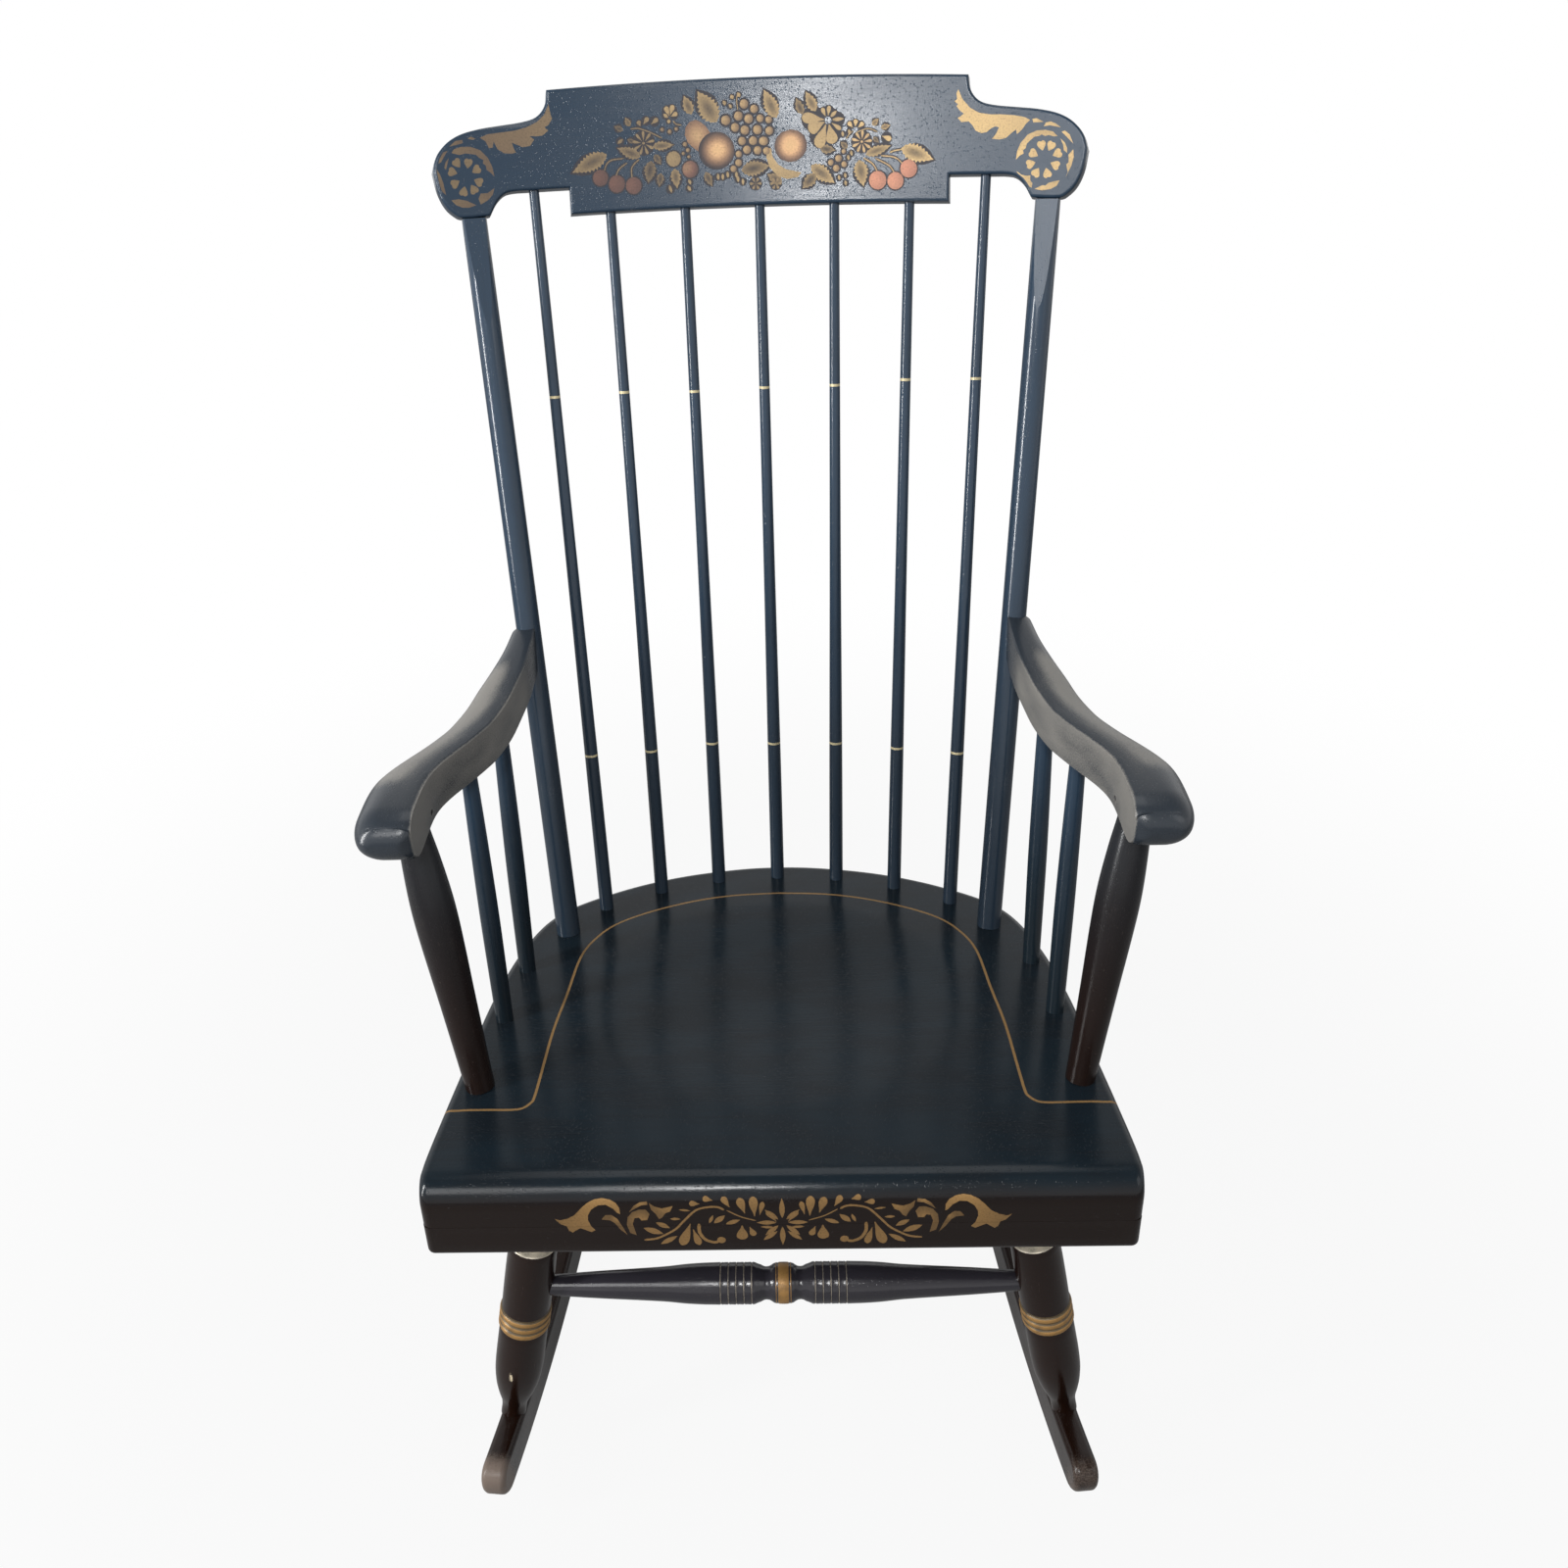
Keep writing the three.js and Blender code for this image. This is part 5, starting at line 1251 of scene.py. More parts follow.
STILE_FOOT = (203.5, 338)  # along and back on the seat
STILE_HEAD = (237, 3.5, 5.6)  # along, up and behind on the crest rail
STILE_RADIUS = 10.2  # at the top
STILE_SIDES = 56
STILE_TURNING = Turning(
    [(-1.5, 11.3), (2, 11.3)], [(0.25, 11.1), (0.5, 10.8), (0.75, 10.5)], [(0.2, STILE_RADIUS)],
)
FLAT_LENGTH = 74  # of the flat that is shaved for the crest rail's ear
FLAT_DEPTH = 4.6  # at the stile's shoulder
FLAT_OVERRUN = 5  # how far above the shoulder its plane is measured
FAN_RADIUS = 300  # of the arc on which the spindles stand
FAN_PITCH = 60.5
FAN_BACK = 432
HEAD_PITCH = 62.2  # along the crest rail
HEAD_BEHIND = 8.5
EAR_UNDERSIDE = 20.5  # above the rail's lower edge
SPINDLE_SIDES = 28
SPINDLE_TURNING = Turning([(-1, 6.8)], [(0.2, 6.4), (0.5, 5.3), (0.8, 4.6)], [(2, 4.2)])
# heights of the painted rings on each spindle, from left to right
RINGS_HIGH = [494.1, 491.8, 488, 488.7, 489.8, 495.4, 499.1]
RINGS_LOW = [162, 153.3, 152.5, 148.4, 149.6, 150.7, 156.8]


class OBJECT_OT_chair_stiles(bpy.types.Operator):
    """The two outer posts of the back, shaved flat behind the crest rail's ears"""

    bl_idname = "object.chair_stiles"
    bl_label = "Stiles"

    def execute(self, context):
        seat_x, depth = STILE_FOOT
        along, up, behind = STILE_HEAD
        for side in SIDES:
            foot = seat_place(side * seat_x, depth, 0)
            head = crest_place(side * along, up, behind)
            axis = (head - foot).normalized()
            shoulder = (head - foot).length - STILE_RADIUS * abs(axis.x) - 0.3
            face = Vector((0, -1, 0))
            face = (face - axis * face.dot(axis)).normalized()
            high = behind - FLAT_DEPTH * FLAT_OVERRUN / FLAT_LENGTH
            flat_top = foot + axis * (shoulder + FLAT_OVERRUN) + face * high
            flat_end = foot + axis * (shoulder - FLAT_LENGTH) + face * STILE_RADIUS
            ends = [crest_place(side * along + step, up, behind) for step in (1, -1)]
            outward = (flat_top - flat_end).cross(ends[0] - ends[1]).normalized()
            if outward.dot(face) < 0:
                outward.negate()

            def shave(solid, at=spot(*flat_top), normal=outward):
                parts = solid.verts[:] + solid.edges[:] + solid.faces[:]
                cut = bmesh.ops.bisect_plane(
                    solid, geom=parts, plane_co=at, plane_no=normal, clear_outer=True,
                )
                rim = [e for e in cut["geom_cut"] if isinstance(e, bmesh.types.BMEdge)]
                bmesh.ops.holes_fill(solid, edges=rim)

            turned_piece(
                f"stile_{side_name(side)}", (foot, head),
                eased(turned_keys(STILE_TURNING, shoulder), 6), STILE_SIDES, ["Spindle paint"],
                "upper_paint", sharp=SHARP_STILE, change=shave,
            )
        return {"FINISHED"}


class OBJECT_OT_chair_spindles(bpy.types.Operator):
    """The seven tapered spindles of the back, each with two painted rings"""

    bl_idname = "object.chair_spindles"
    bl_label = "Back spindles"

    def execute(self, context):
        half = sizes().spindle_ring / MM / 2
        for k, low, high in zip(range(-3, 4), RINGS_LOW, RINGS_HIGH):
            angle = k * FAN_PITCH / FAN_RADIUS
            depth = FAN_BACK - FAN_RADIUS * (1 - math.cos(angle))
            foot = seat_place(FAN_RADIUS * math.sin(angle), depth, 0)
            along = HEAD_PITCH * k
            head = crest_place(along, EAR_UNDERSIDE if abs(along) > STEP_HALF else 0, HEAD_BEHIND)
            profile = eased(turned_keys(SPINDLE_TURNING, (head - foot).length), 8)
            profile = ringed(ringed(profile, low, half, 1), high, half, 1)
            turned_piece(
                f"back_spindle_{k + 4}", (foot, head), profile, SPINDLE_SIDES,
                ("Spindle paint", "Spindle line"), "upper_paint",
            )
        return {"FINISHED"}


# Arms, their posts and their spindles

ARM_BACK = 409
ARM_LENGTH = 296
ARM_INNER = 211
ARM_SWEEP = 50
ARM_WIDTH = 46
ARM_HIGH = 675
ARM_THICKNESS = 37
NOSE_LENGTH = 27
ARM_PLAN = [
    (0, 0, 0.52), (0.1, 0, 0.6), (0.2, 0.02, 0.71), (0.3, 0.08, 0.79), (0.4, 0.155, 0.83),
    (0.5, 0.3, 0.86), (0.55, 0.415, 0.875), (0.6, 0.55, 0.9), (0.65, 0.7, 0.935),
    (0.7, 0.84, 0.97), (0.75, 0.94, 1.005), (0.8, 0.985, 1.02), (0.87, 1, 1.02), (1, 1, 1),
]
# half a section from the middle of the outer side, clockwise and anticlockwise, to the inner face
ARM_SECTION = [
    (0, -0.93), (0.03, -0.985), (0.08, -1), (0.3, -1), (0.56, -1), (0.79, -0.9), (0.94, -0.6),
    (1, -0.1), (0.985, 0.3), (0.89, 0.66), (0.7, 0.87), (0.45, 0.97), (0.2, 1), (0.07, 0.995),
    (0.02, 0.975), (0, 0.93),
]
ARM_PLAN_LINE = curve_through(ARM_PLAN, 4)
ARM_RISE = 14  # of the back end over the front
GRAIN_HEIGHT = 18
SECTION_POINTS = 46
NOSE_START = ARM_BACK - ARM_LENGTH + NOSE_LENGTH
NOSE_BLEND = 52  # length over which the arm's section turns into the nose's
NOSE_OUTER, NOSE_INNER = 2.05, 5.0  # how square the nose is on either side
NOSE_BULGE = 0.13  # how far the nose would reach past the flat inner face
NOSE_TIP = 0.36  # width left at the very end
NOSE_DROP = -1.5
NOSE_SWELL = 0.1  # how much thicker the nose is than the arm
# for each upright under an arm: its foot along and back on the seat, how far back its head
# stands, and how far that is from the arm's inner face
ARM_UPRIGHTS = {
    "post": (246.5, 116.5, 172, 17),
    "front": (242, 204.5, 246, 15.5),
    "rear": (233.8, 278, 312, 17),
}
POST_TURNING = Turning(
    [(-1.5, 12)],
    [(0.05, 12.3), (0.33, 14.5), (0.6, 16.9), (0.72, 17), (0.86, 15.1), (0.97, 12.7)],
    [(1, 12.5)],
)
ARM_SPINDLE_TURNING = Turning([(-1, 7.6)], [(0.2, 7.95), (0.45, 8.2), (0.75, 7.5)], [(2, 6.4)])
PIN_RADIUS = 2.5
PIN_RISE = 8  # over the arm's underside
PIN_DEPTH = 5
PIN_LEAD = 2  # how far outside the wood the drill starts
HOLE_RIM = 3
# the arms' tops are paler as rubbed paint with a painted sheen, their inner faces as dust with
# painted light from the left
FACE_DUST_AND_LIGHT = 0.62  # wear of the arm's inner face
ARM_INNER_WEAR_AND_SHEEN, ARM_OUTER_WEAR_AND_SHEEN = 0.16, 0.56  # on top, and what the outer half adds
ARM_LEAST_WEAR = 0.04
HOLE_FACE_REACH, HOLE_FACE_DEPTH = 16, 4
HOLE_FLAT_REACH = 30


def arm_at(reach):
    """Inner face, width and top of an arm at a distance back from the seat's front."""
    along = (ARM_BACK - reach) / ARM_LENGTH
    sweep = height_on([(p[0], p[1]) for p in ARM_PLAN_LINE], along)
    width = height_on([(p[0], p[2]) for p in ARM_PLAN_LINE], along)
    top = ARM_HIGH + ARM_RISE * max(0, 1 - 2 * along) ** 1.5
    return ARM_INNER + ARM_SWEEP * sweep, ARM_WIDTH * width, top


def spaced(line, count):
    """The same line with points evenly spaced along it."""
    line = [Vector(p) for p in line]
    marks = [0.0]
    for a, b in zip(line, line[1:]):
        marks.append(marks[-1] + (b - a).length)
    points = []
    for k in range(count):
        goal = marks[-1] * k / (count - 1)
        j = min(sum(1 for m in marks[1:] if m < goal), len(line) - 2)
        span = max(marks[j + 1] - marks[j], FINE * MM)
        points.append(between(line[j], line[j + 1], (goal - marks[j]) / span))
    return points


ARM_CURVE = spaced(curve_through(ARM_SECTION, 6), SECTION_POINTS)


NOSE_POINTS = 120


def nose_curve(inward, outward):
    """A rounded section that the plane of the inner face cuts off, from its lower crease up."""
    near, far = (0.5 + NOSE_BULGE) * inward, 0.5 * outward
    limit = math.pi - math.acos(min(1, 0.5 / near) ** (NOSE_INNER / 2))
    points = []
    for angle in even_steps(-limit, limit, NOSE_POINTS):
        c, s = math.cos(angle), math.sin(angle)
        reach, power = (far, 2 / NOSE_OUTER) if c > 0 else (near, 2 / NOSE_INNER)
        x = 0.5 + reach * math.copysign(abs(c) ** power, c)
        points.append(Vector((max(0.0, x), math.copysign(abs(s) ** power, s))))
    return spaced(points, SECTION_POINTS)


def tapered(past, power):
    """Size left at a share of a rounded end's length."""
    return (1 - past ** power) ** (1 / power)


def arm_ring(form, side, reach):
    """One section of an arm, which shrinks to the rounded tip of the nose."""
    inner, width, top = arm_at(reach)
    past = min(1, max(0, NOSE_START - reach) / NOSE_LENGTH)
    size = tapered(past, 2.2)
    nose = nose_curve(between(NOSE_TIP, 1, size), between(NOSE_TIP, 1, tapered(past, 2.1)))
    blend = smooth_step(NOSE_START + NOSE_BLEND, NOSE_START, reach)
    drop = NOSE_DROP * smooth_step(NOSE_START + NOSE_BLEND, NOSE_START - 12, reach)
    middle = top - ARM_THICKNESS / 2 + drop
    half = ARM_THICKNESS / 2 * (1 + NOSE_SWELL * blend)
    ring = []
    for plain, full in zip(ARM_CURVE, nose):
        across, up = between(plain, full, blend)
        place = (side * (inner + width * across), reach, middle + half * up * size)
        grain = (reach, across * width, up * GRAIN_HEIGHT)
        ring.append(form.point(place, grain, arm_wear_and_light(reach, across, up)))
    return ring


def arm_wear_and_light(reach, across, up):
    """Rubbed on top where a forearm lies, dusty down the inner face, both with painted light."""
    along = smooth_step(395, 330, reach) * smooth_step(150, 188, reach)
    outer = ARM_INNER_WEAR_AND_SHEEN + ARM_OUTER_WEAR_AND_SHEEN * smooth_step(0.12, 0.62, across)
    top = smooth_step(0.35, 0.85, up) * along * outer
    face = FACE_DUST_AND_LIGHT * smooth_step(0.05, 0.0, across) * smooth_step(400, 330, reach)
    return max(top, face) + ARM_LEAST_WEAR


class OBJECT_OT_chair_arms(bpy.types.Operator):
    """Arms that sweep outwards to a rounded nose, bored for the pin of each post"""

    bl_idname = "object.chair_arms"
    bl_label = "Arms"

    def execute(self, context):
        reaches = even_steps(ARM_BACK, NOSE_START, 76)
        for k in range(1, 25):
            reaches.append(NOSE_START - NOSE_LENGTH * math.sin(math.pi / 2 * k / 24.3))
        for side in SIDES:
            form = Form()
            rings = [arm_ring(form, side, reach) for reach in reaches]
            for near, far in zip(rings, rings[1:]):
                form.strip(near, far)
            form.face(rings[0])
            form.face(rings[-1])
            node = f"arm_{side_name(side)}"
            bore(dressed(form, node, ["Arm paint"], "upper_paint", SHARP_ARM), side)
        return {"FINISHED"}


def bore(piece, side):
    """Sinks the hole of the post's pin into the arm's inner face."""
    foot, head = upright_line("post", side)
    axis = (head - foot).normalized()
    middle = head + axis * (PIN_RISE / axis.z)
    form = Form()
    inner, _, _ = arm_at(head.y)
    start = Vector((side * (inner - PIN_LEAD), middle.y, middle.z))
    end = Vector((side * (inner + PIN_DEPTH), middle.y, middle.z))
    turn(form, start, end, [(0, PIN_RADIUS, 0), (PIN_LEAD + PIN_DEPTH, PIN_RADIUS, 0)], 24)
    drill = bpy.data.objects.new("drill", form.mesh("drill"))
    bpy.context.scene.collection.objects.link(drill)
    cut = piece.modifiers.new("pin hole", "BOOLEAN")
    cut.object = drill
    cut.solver = "EXACT"
    bpy.context.view_layer.update()
    seen = piece.evaluated_get(bpy.context.evaluated_depsgraph_get())
    mesh = bpy.data.meshes.new_from_object(seen)
    smooth_round_hole(mesh, spot(*start))
    piece.modifiers.clear()
    piece.data = mesh
    bpy.data.objects.remove(drill)


def smooth_round_hole(mesh, mouth):
    """Grain runs on to the hole's rim, and the flat wood round the hole is shaded flat."""
    grain, wear_and_light = mesh.attributes["Grain"], mesh.attributes["WearAndLight"]
    for vertex in mesh.vertices:
        off = vertex.co - mouth
        away = math.hypot(off.y, off.z)
        if away < HOLE_RIM * MM:
            grain.data[vertex.index].vector = (vertex.co.y + ROW_SHIFT * MM, 0, off.z)
        if away < HOLE_FACE_REACH * MM and abs(off.x) < HOLE_FACE_DEPTH * MM:
            wear_and_light.data[vertex.index].value = FACE_DUST_AND_LIGHT
    mesh.shade_smooth()
    for polygon in mesh.polygons:
        beside = (polygon.center - mouth).length < HOLE_FLAT_REACH * MM
        if beside and abs(polygon.normal.x) > 0.7:
            polygon.use_smooth = False
    mesh.set_sharp_from_angle(angle=math.radians(SHARP_ARM))


def upright_line(which, side):
    """Foot on the seat and head under the arm of a post or arm spindle."""
    x, depth, reach, inset = ARM_UPRIGHTS[which]
    inner, _, top = arm_at(reach)
    head = Vector((side * (inner + inset), reach, top - ARM_THICKNESS))
    return seat_place(side * x, depth, 0), head


class OBJECT_OT_chair_arm_posts(bpy.types.Operator):
    """Turned post under the front of each arm, and the two plain spindles behind it"""

    bl_idname = "object.chair_arm_posts"
    bl_label = "Arm posts and spindles"

    def execute(self, context):
        for side in SIDES:
            name = side_name(side)
            foot, head = upright_line("post", side)
            profile = eased(turned_keys(POST_TURNING, (head - foot).length), 7)
            turned_piece(
                f"arm_post_{name}", (foot, head), profile, sizes().turning_sides, ["Post paint"],
                "upper_paint",
            )
            for which in ("front", "rear"):
                foot, head = upright_line(which, side)
                profile = eased(turned_keys(ARM_SPINDLE_TURNING, (head - foot).length), 7)
                turned_piece(
                    f"{which}_arm_spindle_{name}", (foot, head), profile, SPINDLE_SIDES,
                    ["Arm spindle paint"], "upper_paint",
                )
        return {"FINISHED"}


# Seat

SEAT_OUTLINE = [
    (0.996, 0), (1, 0.07), (0.986, 0.2), (0.971, 0.315), (0.949, 0.488), (0.913, 0.635),
    (0.862, 0.745), (0.8, 0.815), (0.71, 0.865), (0.54, 0.925), (0.36, 0.967), (0.16, 0.993),
    (0, 1),
]
ROLL = 21
ARC = ROLL * math.pi / 2
BOARD_END = ARC + SEAT_THICKNESS - ROLL
STRIP_GAP = -0.15
STRIP_START = BOARD_END - STRIP_GAP
STRIP_HEIGHT = 30
STRIP_CORNER = 6
STRIP_END = BOARD_END + STRIP_HEIGHT - STRIP_CORNER
STRIP_DEPTH = 56
STRIPE_LEVEL = 86.8
STRIPE = [
    (232, 86.8), (215, 86.6), (206.5, 88.4), (200.8, 94.5), (199, 101), (198, 125.4), (196, 185.6),
    (191, 236.7), (185.5, 295.9), (172.5, 329), (154, 351), (123, 370.1), (84, 386.1), (45, 395.1),
    (0, 398.2),
]
FILLET_STEPS = 5
OUTLINE_STEPS = 6
SEAT_MESH = (9, 3.6)  # spacing of the points that carry the dish and the roll
STRIP_MESH = (9, 5)
RIM_WEAR, FACE_WEAR, UNDER_WEAR, STRIP_WEAR = 0.12, 0.05, 0.08, 0.06
# the roll is paler a little left of its middle: rubbed paint with a painted highlight
ROLL_WEAR_AND_HIGHLIGHT, SEAT_LEAST_WEAR = 0.22, 0.03
DISH_MIDDLE = 232
DISH_HALF_WIDTH, DISH_HALF_DEPTH = 168, 150
LOWER_EDGE = 2  # rounding of the seat's lower edge at the front
UNDER_STEPS = 3
STRIP_STEPS = 6  # flats in each rounding of the strip
STRIP_SLOPE = 14  # of the strip's underside up to its back


def dish(x, depth):
    across = (x / DISH_HALF_WIDTH) ** 2 + ((depth - DISH_MIDDLE) / DISH_HALF_DEPTH) ** 2
    deep = sizes().dish_depth / MM
    return deep * max(0, 1 - across) ** 1.4


def roll_place(x, u, outward=0.0, under=0.0, lean=(1, 0)):
    """Place on the seat's skin. u is the depth on top and runs on down the roll and the face.

    outward and under step off the skin, along lean and square to the skin.
    """
    v = ROLL - u
    angle = min(max(0, v / ROLL), math.pi / 2)
    if v <= 0:
        depth, up = u, -dish(x, u)
    else:
        depth = ROLL - ROLL * math.sin(angle)
        up = ROLL * math.cos(angle) - ROLL - max(0, v - ARC)
    depth += under * math.sin(angle) + outward * lean[1]
    return seat_place(x + outward * lean[0], depth, up - under * math.cos(angle))


def seat_side(edge):
    """Right-hand rim of the painted skin from the face's foot to the back: (x, u, lean)."""
    outline = [Vector((SEAT_HALF * a, SEAT_DEPTH * b)) for a, b in SEAT_OUTLINE]
    mirror = [Vector((-p.x, p.y)) for p in outline[-2:-3:-1]]
    line = curve_through(outline + mirror, OUTLINE_STEPS)[:-OUTLINE_STEPS]
    rim = []
    for v in [BOARD_END, 45, 39, *even_steps(ARC, 0, 10)]:
        depth = ROLL - ROLL * math.sin(min(v / ROLL, math.pi / 2))
        half = height_on([(p.y, p.x) for p in line], depth)
        rim.append((half - edge, ROLL - v, (1.0, 0.0)))
    width = sizes().stripe_width / MM
    levels = [p.y for p in line if p.y > ROLL + 5 and abs(p.y - STRIPE_LEVEL) > 3]
    levels += [STRIPE_LEVEL - width / 2, STRIPE_LEVEL + width / 2]
    rows = [(p.y, p) for p in line]
    for level in sorted(levels):
        here = Vector((height_on([(y, p.x) for y, p in rows], level), level))
        after = Vector((height_on([(y, p.x) for y, p in rows], level + 0.5), level + 0.5))
        if level > SEAT_DEPTH - 1:
            lean = Vector((0, 1))
        else:
            way = (after - here).normalized()
            lean = Vector((way.y, -way.x))
        rim.append((here.x - lean.x * edge, level - lean.y * edge, (lean.x, lean.y)))
    return rim


def clipped(outline, level, above):
    """An outline cut off along a level, and the places where the cut crosses it."""
    kept, crossings = [], []
    sign = 1 if above else -1
    for (x0, y0), (x1, y1) in zip(outline, outline[1:] + outline[:1]):
        inner, outer = sign * (y0 - level), sign * (y1 - level)
        if inner >= 0:
            kept.append((x0, y0))
        if inner * outer < 0:
            x = x0 + (x1 - x0) * (level - y0) / (y1 - y0)
            kept.append((x, level))
            crossings.append(x)
    return kept, crossings


def cut_motifs(motifs, level, above):
    """The shapes on one side of a level, and every place where the level crosses one."""
    kept, crossings = [], []
    for motif in motifs:
        outline, crossed = clipped([tuple(p) for p in motif.outline], level, above)
        if len(outline) > 2:
            kept.append(motif._replace(outline=outline))
            crossings += crossed
    return kept, crossings


def with_crossings(columns, crossings):
    """Even columns, with any that crowd a crossing moved out of its way."""
    kept = [x for x in columns if all(abs(x - c) > 0.4 for c in crossings)]
    return sorted(kept + crossings)


def seat_stripe(rim):
    """The line painted round the sitting area, from one edge of the seat to the other."""
    width = sizes().stripe_width / MM
    level = [k for k, p in enumerate(rim) if abs(p[1] - STRIPE_LEVEL) < 2.5]
    low, high = rim[level[0]], rim[level[-1]]
    start = ((low[0] + high[0]) / 2 - 4, (low[1] + high[1]) / 2)
    path = curve_through([start, (250, 86.9), *STRIPE], OUTLINE_STEPS)
    path += [Vector((-p.x, p.y)) for p in path[-2::-1]]
    outer, inner = [], []
    for k, here in enumerate(path):
        way = path[min(k + 1, len(path) - 1)] - path[max(k - 1, 0)]
        across = Vector((-way.y, way.x)).normalized() * width / 2
        outer.append(here - across)
        inner.append(here + across)
    ends = [Vector(high[:2]), Vector(low[:2])]
    outer = [ends[0], *outer, Vector((-ends[0].x, ends[0].y))]
    inner = [ends[1], *inner, Vector((-ends[1].x, ends[1].y))]
    return dome(outer + inner[::-1], (0, 0), 900, 900, (0.8, 0.74, 0.0)), level[0]


def seat_wear_and_highlight(x, u):
    """Rubbed along the front roll with a painted highlight, most a little left of its middle."""
    front = smooth_step(24, 4, u) * smooth_step(-18, -2, u)
    return front * ROLL_WEAR_AND_HIGHLIGHT * smooth_step(220, 60, abs(x + 40)) + SEAT_LEAST_WEAR


class OBJECT_OT_chair_seat(bpy.types.Operator):
    """Dished seat board, rolled over at the front, with its painted line and vine"""

    bl_idname = "object.chair_seat"
    bl_label = "Seat"

    def execute(self, context):
        edge = sizes().seat_edge / MM
        inner = edge + FLAT_RIM
        right = seat_side(inner)
        left = [(-x, u, (-lean[0], lean[1])) for x, u, lean in reversed(right)]
        rim = right + left[1:]
        stripe, level = seat_stripe(right)
        foot = rim[0][1]
        vine, crossings = cut_motifs(seat_front_motifs(), foot, True)
        columns = with_crossings(even_steps(-rim[0][0], rim[0][0], 54)[1:-1], crossings)
        form = Form()
        steps = [(0, 0)]
        for k in range(FILLET_STEPS):
            angle = math.pi / 2 * k / (FILLET_STEPS - 1)
            steps.append((FLAT_RIM + edge * math.sin(angle), edge * (1 - math.cos(angle))))
        rings = []
        for out, under in steps:
            ring = []
            for x, u, lean in rim:
                place = roll_place(x, u, out, under, lean)
                grain = (x + out * lean[0], u + out * lean[1], -under)
                ring.append(form.point(place, grain, RIM_WEAR))
            rings.append(ring)
        rings += self.underside(form, rim, inner)
        across = len(rim) - 1
        for k in range(across):
            for near, far in zip(rings, rings[1:]):
                gold = k in (level, across - 1 - level) and near in rings[:FILLET_STEPS]
                corners = [near[k], far[k], far[k + 1], near[k + 1]]
                if gold:
                    form.face(corners, 1, ([(0.1, 0)] * 4, stripe.tone))
                else:
                    form.face(corners)
        row = [form.point(roll_place(x, foot), (x, foot, 0), FACE_WEAR) for x in columns]
        corner_left = [ring[-1] for ring in rings[FILLET_STEPS::-1]]
        corner_right = [ring[0] for ring in rings[:FILLET_STEPS + 1]]
        form.face([*rings[-1], *corner_left, *row, *corner_right])
        outline = [Vector((x, u)) for x, u, _ in rim] + [Vector((x, foot)) for x in columns]
        painted(
            form, outline, rings[0] + row, SEAT_MESH, [stripe, *vine], roll_place,
            lambda x, u: (x, u, 0), seat_wear_and_highlight,
        )
        dressed(form, "seat", ("Seat paint", "Seat stencil"), "seat_paint", SHARP_SEAT)
        return {"FINISHED"}

    def underside(self, form, rim, edge):
        """Rings that carry the sides down and round the lower edge."""
        rings = []
        for k in range(UNDER_STEPS + 1):
            angle = math.pi / 2 * k / UNDER_STEPS
            ring = []
            for x, u, lean in rim:
                v = ROLL - u
                if v > 0:
                    depth = between(edge, ROLL, 1 - v / BOARD_END)
                    radius = LOWER_EDGE * (1 - v / BOARD_END)
                else:
                    depth = u + lean[1] * edge
                    radius = between(LOWER_EDGE, edge, smooth_step(ROLL, 70, u))
                inset = radius * (1 - math.cos(angle))
                up = radius * (1 - math.sin(angle)) - SEAT_THICKNESS
                side_x = x + lean[0] * (edge - inset)
                place = seat_place(side_x, depth - lean[1] * inset, up)
                ring.append(form.point(place, (side_x, depth, up), UNDER_WEAR))
            rings.append(ring)
        return rings


